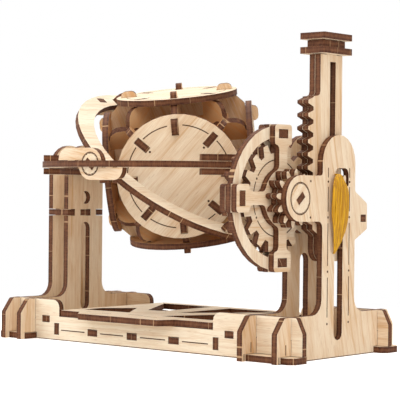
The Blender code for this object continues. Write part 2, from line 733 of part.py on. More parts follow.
def make_pinion(frame):
    """The pinion, its hub and the ratchet wheel turn together, loose on the flywheel's axle."""
    bore = circle(ROUND_BORE)
    dowels = [turned(circle(DOWEL_RADIUS + SEAT), 0, DOWEL_CIRCLE * side) for side in (-1, 1)]
    turn = -RACK_SHIFT / PINION_RADIUS
    outline = gear(PINION_TEETH, PINION_MODULE, RACK_ADDENDUM, RACK_DEDENDUM, turn)
    for name, layer in (("pinion_inner_ply", 3), ("pinion_outer_ply", 4)):
        plate(name, [outline, bore, *dowels], facing_x(STACK_X[layer]), frame)

    hub = plate("ratchet_hub", [circle(HUB_RADIUS), bore], facing_x(STACK_X[2]), frame)
    length = STACK_X[4] - STACK_X[1] + PLY - DOWEL_SHORT
    middle = (STACK_X[4] + STACK_X[1]) / 2
    pins = []
    for number, side in enumerate((-1, 1)):
        place = facing_x(middle, DOWEL_CIRCLE * side)
        loop = circle(DOWEL_RADIUS)
        pins.append(plate(f"hub_dowel_{number}", [loop], place, frame, None, length))
    fuse(hub, pins)

    outline = toothed(RATCHET_TEETH, RATCHET_ROOT, RATCHET_TIP, *RATCHET_SHARES, math.pi / 2)
    plate("ratchet_wheel", [outline, bore, *dowels], facing_x(STACK_X[1]), frame)


def yoke_outline():
    """A round hub with four spokes, each with a block at its end."""
    far, near = FLYWHEEL_RADIUS, FLYWHEEL_RADIUS - FLYWHEEL_BLOCK_DEPTH
    block, spoke = FLYWHEEL_BLOCK / 2, FLYWHEEL_SPOKE / 2
    hub = math.sqrt(FLYWHEEL_HUB**2 - spoke**2)
    inside, outside = YOKE_FILLETS
    points = []
    for quarter in range(4):
        side = [
            (hub, -spoke, inside),
            (near, -spoke, inside),
            (near, -block, EASE),
            (far, -block, outside),
            (far, block, outside),
            (near, block, EASE),
            (near, spoke, inside),
            (hub, spoke, inside),
        ]
        side += [(FLYWHEEL_HUB * math.cos(a), FLYWHEEL_HUB * math.sin(a), HUB_EASE) for a in HUB_CORNERS]
        corner = turned([(x, y) for x, y, _ in side], quarter * math.pi / 2)
        points += [(x, y, side[i][2]) for i, (x, y) in enumerate(corner)]
    return rounded(points)


def half_rim():
    """Half a ring over the top, front and bottom blocks, squared off where each block crosses it."""
    block = FLYWHEEL_BLOCK / 2
    outer = []
    inner = []
    for quarter in (1, 2, 3):
        middle = quarter * math.pi / 2
        outer += turned([(FLYWHEEL_RADIUS, -block), (FLYWHEEL_RADIUS, block)], middle)
        inner += turned([(RATCHET_TIP + RIM_CLEAR, -block), (RATCHET_TIP + RIM_CLEAR, block)], middle)
        if quarter < 3:
            for edge_loop, radius in ((inner, FLYWHEEL_RIM[0]), (outer, FLYWHEEL_RIM[1])):
                edge = math.asin(block / radius)
                edge_loop += arc(radius, middle + edge, middle + math.pi / 2 - edge)
    return outer + inner[::-1]


def make_flywheel(frame):
    pin_holes = []
    for quarter in range(4):
        angle = quarter * math.pi / 2
        hole = rectangle(BLOCK_PIN[0] + 2 * SEAT, BLOCK_PIN[1] + 2 * SEAT, BLOCK_PIN_CIRCLE)
        pin_holes.append(turned(hole, angle))
    hub_hole = circle(HUB_RADIUS + RUN)
    axle_hole = rectangle(AXLE_WIDTH + 2 * SEAT, SLOT, 0, 0, AXLE_TURN)
    front_loops = [yoke_outline(), hub_hole, *pin_holes]
    plate("flywheel_front_yoke", front_loops, facing_x(STACK_X[2]), frame)
    plate("flywheel_rim", [half_rim(), *pin_holes[1:]], facing_x(STACK_X[1]), frame)

    rear = plate("flywheel_rear_yoke", [yoke_outline(), axle_hole], facing_x(STACK_X[0]), frame)
    start, end = STACK_X[0], STACK_X[2] + PLY / 2
    pins = []
    for quarter in range(4):
        loop = turned(rectangle(*BLOCK_PIN, BLOCK_PIN_CIRCLE), quarter * math.pi / 2)
        place = facing_x((start + end) / 2)
        pins.append(plate(f"block_pin_{quarter}", [loop], place, frame, None, end - start))
    near, far = RATCHET_TIP + RIM_CLEAR, FLYWHEEL_RADIUS
    pad = rectangle(far - near, FLYWHEEL_BLOCK, (near + far) / 2)
    pins.append(plate("rear_block_pad", [pad], facing_x(STACK_X[1]), frame))
    fuse(rear, pins)

    start, end = GEARS_X - PLY / 2 - RUN, RIGHT_OUTER_X + PLY / 2 + RUN
    bar = rectangle(AXLE_WIDTH, PLY, 0, 0, AXLE_TURN)
    axle = plate("flywheel_axle", [bar], facing_x((start + end) / 2), frame, None, end - start)
    ends = []
    for name, x in (("inner_bushing", RIGHT_INNER_X), ("outer_bushing", RIGHT_OUTER_X)):
        ends.append(plate(name, [circle(BUSHING_RADIUS)], facing_x(x), frame))
    fuse(axle, ends)

    addendum = GEAR_ADDENDUM_SHARE * GEAR_MODULE
    outline = gear(DRIVE_TEETH, GEAR_MODULE, addendum, GEAR_MODULE, GEAR_LINE)
    first, sweep = GEAR_WINDOW_TURN
    windows = []
    for spoke in range(4):
        start = math.pi / 2 * spoke + first + GEAR_LINE
        windows.append(window(*GEAR_WINDOW, start, start + sweep))
    plate("drive_gear", [outline, axle_hole, *windows], facing_x(GEARS_X), frame)


def outer_ring_outline():
    """A circle with its two ends cut flat, and a tongue at each end that is the ring's own axle."""
    edge = math.acos(RING_FLAT / RING_OUTER)
    half = RING_TONGUE / 2
    right = RIGHT_INNER_FACE + PLY + TONGUE_RIGHT - RINGS_X
    left = LEFT_OUTER_X - PLY / 2 - TONGUE_LEFT - RINGS_X
    loop = [(RING_FLAT, -half), (right, -half), (right, half), (RING_FLAT, half)]
    loop += arc(RING_OUTER, edge, math.pi - edge)
    loop += [(-RING_FLAT, half), (left, half), (left, -half), (-RING_FLAT, -half)]
    loop += arc(RING_OUTER, math.pi + edge, 2 * math.pi - edge)
    return loop


def notched_circle(radius, half, depth, first):
    """A ring's inner edge, with two square notches that run outwards at the first angle and opposite it."""
    edge = math.asin(half / radius)
    loop = []
    for middle in (first, first + math.pi):
        loop += turned([(depth, -half), (depth, half)], middle)
        loop += arc(radius, middle + edge, middle + math.pi - edge)
    return loop


def bearing_outline(boss, arm, tenon_x):
    """A Z of ply: one arm lies above a ring, the other below it, and the round boss between them."""
    b = PLY / 2 + SEAT
    a, c = tenon_x - BEARING_TENON / 2, tenon_x + BEARING_TENON / 2
    end = boss - b - ARM_EASE
    points = [(-arm, b, 0), (-c, b, 0), (-c, -PLY / 2, 0), (-a, -PLY / 2, 0), (-a, b, 0)]
    points += [(-boss, b, 0), (-boss, -boss, boss), (arm, -boss, end), (arm, -b, 0)]
    points += [(c, -b, 0), (c, PLY / 2, 0), (a, PLY / 2, 0), (a, -b, 0)]
    points += [(boss, -b, 0), (boss, boss, boss), (-arm, boss, end)]
    return rounded(points)


def tenon_slots(distance, tenon_x, along_x):
    """The four slots in a ring for the tenons of its two bearing plates."""
    loops = []
    for far in (-distance, distance):
        for side in (-tenon_x, tenon_x):
            wide = BEARING_TENON + 2 * SEAT
            if along_x:
                loops.append(rectangle(SLOT, wide, far, side))
            else:
                loops.append(rectangle(wide, SLOT, side, far))
    return loops


def make_outer_ring(frame):
    notch = BEARING_BOSS + RUN
    inner = notched_circle(RING_INNER, notch, NOTCH_RIM, math.pi / 2)
    loops = [outer_ring_outline(), inner, *tenon_slots(BEARING_Y, BEARING_TENON_X, False)]
    ring = plate("outer_ring", loops, flat(0), frame)
    ends = []
    for name, x, radius in (
        ("left_outer_bushing", LEFT_OUTER_X, RING_BUSHING_LEFT),
        ("left_inner_bushing", LEFT_INNER_X, RING_BUSHING_LEFT),
        ("right_bushing", RIGHT_INNER_X, RING_BUSHING_RIGHT),
    ):
        ends.append(plate(name, [circle(radius)], facing_x(x - RINGS_X), frame))
    fuse(ring, ends)

    outer, hollow = RING_OUTER - ARC_INSET, RING_INNER + ARC_INSET
    flat_x = RING_FLAT - ARC_INSET
    cut = math.acos(flat_x / outer)
    half = ARC_HALF_ANGLE
    right = arc(outer, -half, -cut) + arc(outer, cut, half) + arc(hollow, half, -half)
    for end, loop in (("right", right), ("left", turned(right, math.pi))):
        for level, z in (("upper", PLY + RUN), ("lower", -PLY - RUN)):
            plate(f"ring_{end}_{level}_arc", [loop], flat(z), frame)

    outline = bearing_outline(BEARING_BOSS, BEARING_ARM, BEARING_TENON_X)
    loops = [outline, circle(BEARING_BUSHING + SEAT)]
    plate("front_bearing_plate", loops, facing_y(-BEARING_Y), frame)
    rear = Matrix.Rotation(math.pi, 4, "Z") @ facing_y(-BEARING_Y)
    plate("rear_bearing_plate", loops, rear, frame)

    turn = GEAR_LINE + math.pi + math.pi / DRIVEN_TEETH
    addendum = GEAR_ADDENDUM_SHARE * GEAR_MODULE
    outline = gear(DRIVEN_TEETH, GEAR_MODULE, addendum, GEAR_MODULE, turn)
    bore = rectangle(RING_TONGUE + 2 * SEAT, SLOT)
    plate("ring_pinion", [outline, bore], facing_x(GEARS_X - RINGS_X), frame)


def make_inner_ring(frame):
    """The tilted hoop, whose tongues are its axle across the outer ring."""
    half = RING_TONGUE / 2
    edge = math.asin(half / HOOP_OUTER)
    reach = BEARING_Y + PLY / 2 + AXLE_PROUD
    outline = []
    for middle in (math.pi / 2, 3 * math.pi / 2):
        outline += turned([(reach, -half), (reach, half)], middle)
        outline += arc(HOOP_OUTER, middle + edge, middle + math.pi - edge)
    inner = notched_circle(HOOP_INNER, HOOP_BOSS + RUN, HOOP_NOTCH_RIM, 0.0)
    loops = [outline, inner, *tenon_slots(HOOP_BEARING_X, HOOP_TENON_X, True)]
    hoop = plate("inner_ring", loops, flat(0), frame)
    ends = []
    for name, y in (("front_hoop_bushing", -BEARING_Y), ("rear_hoop_bushing", BEARING_Y)):
        ends.append(plate(name, [circle(BEARING_BUSHING)], facing_y(y), frame))
    fuse(hoop, ends)

    outline = bearing_outline(HOOP_BOSS, HOOP_ARM, HOOP_TENON_X)
    loops = [outline, circle(HOOP_BUSHING + SEAT)]
    plate("lower_bearing_plate", loops, facing_x(HOOP_BEARING_X), frame)
    upper = Matrix.Rotation(math.pi, 4, "Z") @ facing_x(HOOP_BEARING_X)
    plate("upper_bearing_plate", loops, upper, frame)


def disc_loops():
    loops = [circle(DISC_RADIUS)]
    for quarter in range(4):
        angle = quarter * math.pi / 2
        tab = rectangle(TAB_LENGTH + 2 * SEAT, SLOT, TAB_CIRCLE)
        tenon = rectangle(CORNER_TENON + 2 * SEAT, SLOT, CORNER_CIRCLE)
        loops += [turned(tab, angle), turned(tenon, angle + math.pi / 4)]
    return loops


def frame_loops():
    """One of three square frames that cross each other; two edges are slotted from outside and two from inside."""
    wide, tip = FRAME_HALF, DISC_FACE + TAB_PROUD
    near, far = TAB_CIRCLE - TAB_LENGTH / 2, TAB_CIRCLE + TAB_LENGTH / 2
    r = SLOT / 2
    middle = (FRAME_HALF + FRAME_HOLLOW) / 2
    outline = []
    for quarter in range(4):
        side = [(wide, -far, 0), (tip, -far, TAB_EASE), (tip, -near, TAB_EASE), (wide, -near, 0)]
        if quarter % 2 == 0:
            depth = middle - SEAT
            side += [(wide, -r, 0), (depth, -r, 0), (depth, r, 0), (wide, r, 0)]
        side += [(wide, near, 0), (tip, near, TAB_EASE), (tip, far, TAB_EASE), (wide, far, 0)]
        side += [(wide, FRAME_CUT, EASE), (FRAME_CUT, wide, EASE)]
        corner = turned([(x, y) for x, y, _ in side], quarter * math.pi / 2)
        outline += [(x, y, side[i][2]) for i, (x, y) in enumerate(corner)]
    h = FRAME_HOLLOW
    depth = middle + SEAT
    hollow = [(h, -h), (h, h), (r, h), (r, depth), (-r, depth), (-r, h), (-h, h), (-h, -h)]
    hollow += [(-r, -h), (-r, -depth), (r, -depth), (r, -h)]
    return [rounded(outline), hollow]


def lobe_points(shy=0.0):
    """One end of a corner ply: a tenon for the disc and a round lobe beside it, each edge drawn in by shy."""
    a, b = CORNER_CIRCLE - CORNER_TENON / 2 + shy, CORNER_CIRCLE + CORNER_TENON / 2 - shy
    wide = FRAME_HALF - shy
    reach = LOBE_REACH - shy
    foot, side, top = LOBE_RADII
    return [
        (b - EASE, wide - LOBE_FOOT, foot),
        (reach, wide - LOBE_FOOT + side, side),
        (reach, wide, top),
        (b, wide, 0),
        (b, DISC_FACE - shy, 0),
        (a, DISC_FACE - shy, 0),
    ]


def make_corner_post(frame, number, sx, sy, stub_end):
    """The plies that meet at two corners of the cube, joined by the bar between them."""
    a = CORNER_CIRCLE - CORNER_TENON / 2
    ends = lobe_points()
    bar = rounded([(x, -y, r) for x, y, r in reversed(ends)] + ends)
    post = plate(f"cube_corner_post_{number}", [bar], basis((sx, sy, 0), (0, 0, 1)), frame)
    others = []
    for sz in (-1, 1):
        sides = basis((0, sy, sz), (sx, 0, 0)), basis((sx, 0, sz), (0, sy, 0))
        for letter, place, shy in zip("ab", sides, (SHY, 2 * SHY)):
            name = f"corner_{number}_{sz + 1}_{letter}"
            half = rounded(lobe_points(shy) + [(a + shy, FRAME_HALF - LOBE_FOOT - shy, 0)])
            others.append(plate(name, [half], place, frame, None, PLY - shy))
    if stub_end:
        out = Vector((sx, sy, stub_end)).normalized()
        across = Vector((-sy, sx, 0)).normalized()
        place = basis(across, out.cross(across))
        end = HOOP_BEARING_X + PLY / 2 + AXLE_PROUD
        length = end - STUB_START
        middle = Matrix.Translation(out * (STUB_START + end) / 2) @ place
        others.append(plate(f"stub_{number}", [rectangle(*STUB)], middle, frame, None, length))
        seat = Matrix.Translation(out * HOOP_BEARING_X) @ place
        others.append(plate(f"stub_bushing_{number}", [circle(HOOP_BUSHING)], seat, frame))
    fuse(post, others)


def make_cube(frame):
    quarter = math.pi / 2
    faces = (
        ("front", Matrix.Identity(4)),
        ("rear", Matrix.Rotation(math.pi, 4, "X")),
        ("right", Matrix.Rotation(quarter, 4, "Y")),
        ("left", Matrix.Rotation(-quarter, 4, "Y")),
        ("top", Matrix.Rotation(-quarter, 4, "X")),
        ("bottom", Matrix.Rotation(quarter, 4, "X")),
    )
    for name, turn in faces:
        plate(f"cube_{name}_disc", disc_loops(), turn @ flat(DISC_MIDDLE), frame)
    cycle = Matrix.Rotation(math.radians(120), 4, Vector((1, 1, 1)))
    place = Matrix.Identity(4)
    for number in range(3):
        plate(f"cube_frame_{number + 1}", frame_loops(), place, frame)
        place = cycle @ place
    corners = ((1, 1, 0), (-1, 1, -1), (-1, -1, 0), (1, -1, 1))
    for number, (sx, sy, stub_end) in enumerate(corners):
        make_corner_post(frame, number + 1, sx, sy, stub_end)


def band_route():
    """The band hangs on the hook, comes out over the post's face and goes round the plunger's peg."""
    x = RIGHT_OUTER_X
    out = x + PLY / 2 + BAND_RADIUS + RUN
    low = PEG_Z[0] - BAND_RADIUS - RUN
    half = PLY / 2 + BAND_RADIUS + RUN
    hook = SLOT_WIDTH / 2 + HOOK_WIDTH / 2
    far = hook + HOOK_WIDTH / 2 + HOOK_CHANNEL / 2
    near = SLOT_WIDTH / 2 - BAND_RADIUS - RUN
    top = HOOK_Z[1] + BAND_RADIUS + RUN
    return [
        (x, near - 0.1, top - 1.2),
        (x, hook - 0.9, top + 0.1),
        (x, hook + 0.9, top + 0.1),
        (x, far, top - 1.6),
        (x + 0.4, far, HOOK_Z[0] + 3.0),
        (out, far - 0.1, HOOK_Z[0] + 1.4),
        (out, far - 1.4, HOOK_Z[0] - 6),
        (out, half + 0.6, PEG_Z[1] + 6),
        (x + 1.2, half - 0.1, PEG_Z[1] + 1),
        (x, half, sum(PEG_Z) / 2),
        (x, half - 0.6, low + 0.4),
        (x, 0.0, low - 0.2),
        (x, -half + 0.6, low + 0.4),
        (x, -half, sum(PEG_Z) / 2),
        (x, -half + 0.1, PEG_Z[1] + 6),
    ]


def make_band():
    """The rubber band that lifts the plunger again."""
    data = bpy.data.curves.new("return_band", "CURVE")
    data.dimensions = "3D"
    data.bevel_depth = BAND_RADIUS * MM
    data.bevel_resolution = 1
    spline = data.splines.new("POLY")
    points = band_route()
    spline.points.add(len(points) - 1)
    for point, place in zip(spline.points, points):
        point.co = (*(v * MM for v in place), 1)
    spline.use_cyclic_u = True
    data.materials.append(RUBBER)
    band = bpy.data.objects.new("return_band", data)
    PARTS.objects.link(band)


def main():
    make_posts()
    make_spacers()
    make_rails()
    make_base_panels()
    make_feet()
    make_band()
    make_plunger(empty("plunger_slide", None, Matrix.Identity(4)))
    make_pinion(empty("pinion_axis", None, Matrix.Translation((0, DRIVE_Y, DRIVE_Z))))
    make_flywheel(empty("flywheel_axis", None, Matrix.Translation((0, DRIVE_Y, DRIVE_Z))))
    outer = empty("outer_ring_axis", None, Matrix.Translation((RINGS_X, 0, AXIS_Z)))
    make_outer_ring(outer)
    inner = empty("inner_ring_axis", outer, Matrix.Rotation(HOOP_TILT, 4, "Y"))
    make_inner_ring(inner)
    corner = Vector((1, -1, 1))
    diagonal = corner.rotation_difference(Vector((1, 0, 0))).to_matrix().to_4x4()
    make_cube(empty("cube_axis", inner, Matrix.Rotation(CUBE_SPIN, 4, "X") @ diagonal))


for old in list(bpy.data.objects):
    bpy.data.objects.remove(old)
PARTS = new_collection("hand_pressed_chooser")
CUTTERS = new_collection("cutters")
BIRCH = wood("birch_ply", (0.80, 0.62, 0.42), 0.6)
RUBBER = wood("rubber", (0.80, 0.42, 0.02), 0.5)
main()
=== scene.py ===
"""Looks of the hand-pressed chooser: birch ply with burnt edges, engraved lines and a rubber band.

Lengths are in millimetres and become metres at MM. X runs along the base, Y to the rear and Z up.
"""

import json
import math

import bpy
import numpy as np
from mathutils import Matrix, Vector

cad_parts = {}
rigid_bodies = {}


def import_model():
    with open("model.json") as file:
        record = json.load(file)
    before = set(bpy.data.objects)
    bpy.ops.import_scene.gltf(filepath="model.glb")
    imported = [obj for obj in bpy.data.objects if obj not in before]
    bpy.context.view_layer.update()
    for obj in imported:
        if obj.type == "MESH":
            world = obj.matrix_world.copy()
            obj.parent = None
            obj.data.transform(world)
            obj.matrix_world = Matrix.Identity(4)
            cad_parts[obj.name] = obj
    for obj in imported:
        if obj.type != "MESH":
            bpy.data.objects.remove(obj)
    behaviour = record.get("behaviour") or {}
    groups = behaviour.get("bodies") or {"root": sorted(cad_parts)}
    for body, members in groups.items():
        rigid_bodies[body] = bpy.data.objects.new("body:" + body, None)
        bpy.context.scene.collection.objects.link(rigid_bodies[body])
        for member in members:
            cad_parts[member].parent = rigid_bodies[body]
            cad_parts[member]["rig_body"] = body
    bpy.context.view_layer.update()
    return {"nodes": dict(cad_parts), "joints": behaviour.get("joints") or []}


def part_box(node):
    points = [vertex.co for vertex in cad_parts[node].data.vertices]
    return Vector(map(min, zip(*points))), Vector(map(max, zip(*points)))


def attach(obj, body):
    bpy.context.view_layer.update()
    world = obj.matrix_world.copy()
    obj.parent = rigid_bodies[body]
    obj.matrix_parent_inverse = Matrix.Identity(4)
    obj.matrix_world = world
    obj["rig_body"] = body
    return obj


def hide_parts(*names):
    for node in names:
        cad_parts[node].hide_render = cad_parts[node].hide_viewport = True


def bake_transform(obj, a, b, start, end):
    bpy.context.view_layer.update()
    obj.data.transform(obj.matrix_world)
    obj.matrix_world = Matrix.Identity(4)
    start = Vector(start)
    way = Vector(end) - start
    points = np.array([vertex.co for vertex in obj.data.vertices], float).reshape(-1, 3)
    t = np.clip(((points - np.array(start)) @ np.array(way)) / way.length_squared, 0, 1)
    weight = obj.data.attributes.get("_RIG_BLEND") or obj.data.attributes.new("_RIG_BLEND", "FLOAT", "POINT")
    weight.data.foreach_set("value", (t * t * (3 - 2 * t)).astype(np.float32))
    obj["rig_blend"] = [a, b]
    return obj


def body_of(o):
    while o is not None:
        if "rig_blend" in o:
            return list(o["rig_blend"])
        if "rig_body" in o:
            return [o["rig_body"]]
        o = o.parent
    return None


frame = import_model()
MM = 0.001
X_AXIS, Y_AXIS, Z_AXIS = np.eye(3)

# Camera, solved from the edges of the base, the posts and the wheel; its clip range is in metres
CAMERA_PLACE = (514.65, -600.6, 78.6)
CAMERA_YAW = math.radians(40.33)
CAMERA_PITCH = math.radians(0.476)
CAMERA_ROLL = math.radians(0.564)
CAMERA_LENS = 142.06
SENSOR_WIDTH = 36.0
CLIP_START = 0.01
CLIP_END = 50.0

# Where a node shows a face of its ply, and where it stays burnt
FACE_TURN = (0.90, 0.96)
END_GRAIN = 0.18
END_SOFT = 0.02
LONG_TONGUE = 15.0
BUSHING_DEPTH = 4.0
CORNER_SIGNS = ((1, 1), (-1, 1), (-1, -1), (1, -1))
CORNER_SPLIT = 5.0
FAR = 1000.0

# Cosine above which two triangles face alike, and the least area of a triangle in square metres
ALIKE = 0.999
LEAST_AREA = 1e-12

# How the plies differ by chance, the flat axle's turn in its bushings and the way of the discs' grain
CHANCE = 11
TONE_SPREAD = (-0.04, 0.18)
SEED_SPREAD = (0, 400)
AXLE_TURN = math.radians(39)
DISC_GRAIN = np.array((0.55, 0.35, 0.76))

# Engraved lines: how far they stand out and reach in, their widths, and the fineness of arcs and dots
PROUD = 0.03
SUNK = 0.15
LINE_WIDTH = 0.54
CIRCLE_WIDTH = 0.5
LIP_WIDTH = 0.7 * LINE_WIDTH
ARC_STEP = 4
ARC_LEAST = 8
DOT_RADIUS = 0.58
DOT_CORNERS = 8

# Painted contact shadow: a dark line along the foot of the right outer post and of the rails
SHADOW_LINE_WIDTH = 0.4
SHADOW_LINE_HEIGHT = 0.2
SHADOW_INSET_POST = 1.0
SHADOW_INSET_RAIL = 22.0

# Lines on the discs and the ratchet wheel, with their gaps in degrees
EIGHTH = 45
DISC_LINE = 25.0
DISC_DOTS = 18.4
DISC_GAPS = (8.5, 39.0)
SIXTH = 60
RATCHET_LINE = 17.5
RATCHET_GAP = 5.0

# Circles round the bushings, and lines on the posts, the rails and the lip
BUSHING_RADIUS = 6.7
BEARING_BUSHING = 4.9
CIRCLE_GAP = 0.55
POST_LINES_Y = (-8.6, 8.4)
POST_DASHES_Z = ((83.5, 88.0), (67.8, 79.2), (42.8, 62.4), (19.0, 37.4))
POST_DOTS_Z = (81.6, 65.1, 40.1, 16.0)
BOSS_DOTS = ((-22.2, 81.7), (-22.2, 65.2))
TOE_MARKS = ((39.7, 3.8, 8.4), (44.7, 0.4, 3.3))
RAIL_LINE_Z = 5.2
RAIL_DASHES_X = ((-56.5, -39.8), (-29.1, -13.4), (-2.2, 14.1), (24.8, 40.9))
LIP_DASHES = ((-41.0, -38.0, -33.0), (-30.0, -24.0, -33.5), (-16.0, -6.0, -29.5), (-2.0, 6.0, -33.0))

# Rubber band: height, half its width, middle in Y and in X, from the hook down to the peg
BAND_ROUTE = (
    (84.9, 0.8, -2.4, 89.6),
    (84.6, 1.3, -2.4, 91.0),
    (82.4, 3.0, -3.2, 91.6),
    (77.8, 5.1, -2.3, 91.9),
    (73.2, 5.6, -2.1, 92.0),
    (68.5, 5.5, -2.4, 92.0),
    (63.9, 5.0, -2.5, 91.9),
    (59.3, 4.0, -2.7, 91.8),
    (54.7, 2.7, -3.6, 91.6),
    (52.4, 1.6, -4.2, 91.4),
    (50.1, 0.7, -4.8, 91.1),
    (48.4, 0.2, -5.0, 90.4),
)

# The places between which the band stretches, below the hook and above the peg
BAND_HOOK_END = BAND_ROUTE[2]
BAND_PEG_END = BAND_ROUTE[-3]

# Strands of the band: how they bulge, thin out towards its ends and ripple, in mm and radians
BAND_STEPS = 70
BAND_STRANDS = 9
STRAND_SIDES = 10
STRAND_RADIUS = 0.78
STRAND_CROWN = 0.8
STRAND_THIN = 0.45
RIPPLE = 0.12
RIPPLE_OUT = 0.5
RIPPLE_PER_MM = 0.35
RIPPLE_PER_STRAND = 2.1

# Colours, as linear values
BIRCH_LIGHT = (0.87, 0.77, 0.615)
BIRCH_DEEP = (0.61, 0.385, 0.205)
# Painted warm shade: the orange that the deepest birch turns, inside the cube
WARM_SHADE_BIRCH = (0.66, 0.305, 0.105)
BIRCH_FLECK = (0.42, 0.25, 0.13)
BURNT_DARK = (0.052, 0.016, 0.008)
BURNT_WARM = (0.235, 0.098, 0.045)
BURNT_PALE = (0.55, 0.36, 0.20)
LINE_DARK = (0.045, 0.018, 0.009)
LINE_PALE = (0.110, 0.052, 0.026)
BAND_DEEP = (0.36, 0.155, 0.001)
BAND_LIGHT = (0.68, 0.37, 0.006)
WHITE = (1.0, 1.0, 1.0)

# Patterns in the ply: steps per mm along the grain, across it and through the sheet, detail, roughness
FIBRES = ((0.10, 3.2, 0.6), 4.0, 0.65)
PORES = ((0.22, 3.0, 1.0), 1.0, 0.5)
WARP = ((0.012, 0.05, 1.0), 2.0, 0.5)
STREAKS = ((1.6, 1.6, 0.25), 3.0, 0.6)
SCORCH = ((0.12, 0.12, 0.5), 2.0, 0.5)
NIBS = ((0.045, 0.045, 1.0), 0.0, 0.5)

# The figure and the growth lines run along the warp, and the growth lines drift along the grain too
FIGURE = ((9.0, 0.16, 1.0), 3.0, 0.6)
GROWTH = ((1.0, 0.62, 1.0), 2.0, 0.5)
GROWTH_WARP = 5.0
GROWTH_DRIFT = 0.006
CLOUDS_PER_METRE = 22.0

# What each pattern does to a face of the ply: where it starts, where it is full, and its share
FIBRE_TONE = (0.30, 0.75, 0.40)
FIGURE_TONE = (0.35, 0.70, 0.34)
GROWTH_TONE = (0.52, 0.66, 0.26)
CLOUD_TONE = (0.3, 0.7, 0.14)
# Painted shade: the face of each disc that looks into the cube is made deeper
INNER_FACE_SHADE = (0.6, 1.1, 0.95)
PORE_TONE = (0.64, 0.74, 0.34)
TONE_START = -0.08

# The same for burnt edges; core, glue lines and the painted shade of the discs' inner faces go by mm from
# the middle of the sheet
STREAK_HEAT = (0.35, 0.75, 0.42)
CORE_HEAT = (0.75, 0.45, 0.22)
SCORCH_HEAT = (0.35, 0.7, 0.26)
GLUE_LINE = 0.6
GLUE_TONE = (0.16, 0.05, 0.35)
NIB_LEVEL = 0.52
NIB_TONE = (0.0035, 0.0015, 0.8)

# Surface of the ply: roughness and its swing, gloss, relief in mm, and the fibres' share of the relief
PLY_ROUGH = (0.52, 0.18)
WOOD_GLOSS = 0.16
PLY_RELIEF = 0.05
FIBRE_RELIEF = 0.4

# Scorched lines and rubber, in the same terms, with the steps of the rubber's fine lines per metre
LINE_SPECKS_PER_METRE = 1800.0
LINE_SPECK_STEP = (0.3, 0.7)
LINE_ROUGH = (0.6, 0.2)
LINE_RELIEF = 0.02
BAND_LINES = ((1300.0, 1300.0, 70.0), 3.0, 0.6)
BAND_LINE_TONE = (0.36, 0.64, 0.75)
BAND_CLOUDS_PER_METRE = 160.0
BAND_CLOUD_TONE = 0.25
BAND_ROUGH = (0.38, 0.2)
BAND_RELIEF = 0.05
RUBBER_GLOSS = 0.35

# Tone of single plies, the deeper the higher; the others vary a little by chance. The deep tones of the
# cube's corner posts and frames are painted shade of the cube's inside.
PLY_TONES_AND_SHADE = {
    "front_rail": -0.16,
    "right_outer_post": 0.17,
    "right_inner_post": 0.34,
    "left_inner_post": 0.20,
    "left_outer_post": 0.14,
    "cube_front_disc": 0.16,
    "cube_rear_disc": 0.22,
    "cube_left_disc": 0.26,
    "cube_right_disc": 0.20,
    "cube_top_disc": 0.05,
    "cube_bottom_disc": 0.18,
    # Painted shade: the corner posts and frames below are made deep, as the inside of the cube lies in shade
    "cube_corner_post_1": 1.06,
    "cube_corner_post_2": 0.98,
    "cube_corner_post_3": 1.10,
    "cube_corner_post_4": 1.00,
    "cube_frame_1": 0.50,
    "cube_frame_2": 0.62,
    "cube_frame_3": 0.56,
    "inner_ring": -0.12,
    "lattice_floor": 0.02,
    "front_tray": -0.14,
}

# World and floor; the floor's plain white starts and is full at these distances in metres
WORLD_LEVEL = 0.44
WORLD_WARM = (1.0, 0.90, 0.79)
FLOOR_HALF = 4000.0
FLOOR_WHITE = (0.86, 0.86, 0.86, 1.0)
FLOOR_GLOW = 0.45
FLOOR_NEAR = 0.17
FLOOR_FAR = 0.30

# Lamps: place, what they aim at, width and height, power and colour
LAMPS = {
    "key": ((520, -640, 760), (0, 0, 70), (700, 700), 5.0, (1.0, 0.985, 0.96)),
    "left_fill": ((-620, -620, 420), (0, 0, 70), (700, 600), 4.1, (1.0, 0.99, 0.975)),
    "right_fill": ((820, -120, 240), (0, 0, 80), (500, 500), 1.1, (1.0, 0.985, 0.96)),
    "top": ((-60, 160, 900), (0, 0, 60), (900, 900), 6.6, (1.0, 1.0, 1.0)),
}


class Signal:
    """A socket of a recipe; arithmetic on it adds Math nodes."""

    def __init__(self, recipe, socket):
        self.recipe = recipe
        self.socket = socket

    def math(self, operation, *others):
        values = dict(enumerate((self, *others)))
        return self.recipe.node("ShaderNodeMath", {"operation": operation}, values)

    def __add__(self, other):
        return self.math("ADD", other)

    def __sub__(self, other):
        return self.math("SUBTRACT", other)

    def __rsub__(self, other):
        return self.recipe.node("ShaderNodeMath", {"operation": "SUBTRACT"}, {0: other, 1: self})

    def __mul__(self, other):
        return self.math("MULTIPLY", other)

    def __abs__(self):
        return self.math("ABSOLUTE")

    __radd__ = __add__
    __rmul__ = __mul__

    def larger(self, other):
        return self.math("MAXIMUM", other)

    def smooth(self, low, high):
        """0 below low, 1 above high and a soft step between them; low above high turns it round."""
        settings = {"interpolation_type": "SMOOTHSTEP"}
        values = {"Value": self, "From Min": low, "From Max": high}
        if low > high:
            values = {"Value": self, "From Min": high, "From Max": low, "To Min": 1.0, "To Max": 0.0}
        return self.recipe.node("ShaderNodeMapRange", settings, values, "Result")

    def weighed(self, low, high, share):
        """A soft step from low to high, times its share."""
        return self.smooth(low, high) * share

    def swung(self, start, swing):
        """The start where the signal is 0, and start plus swing where it is 1."""
        return self * swing + start


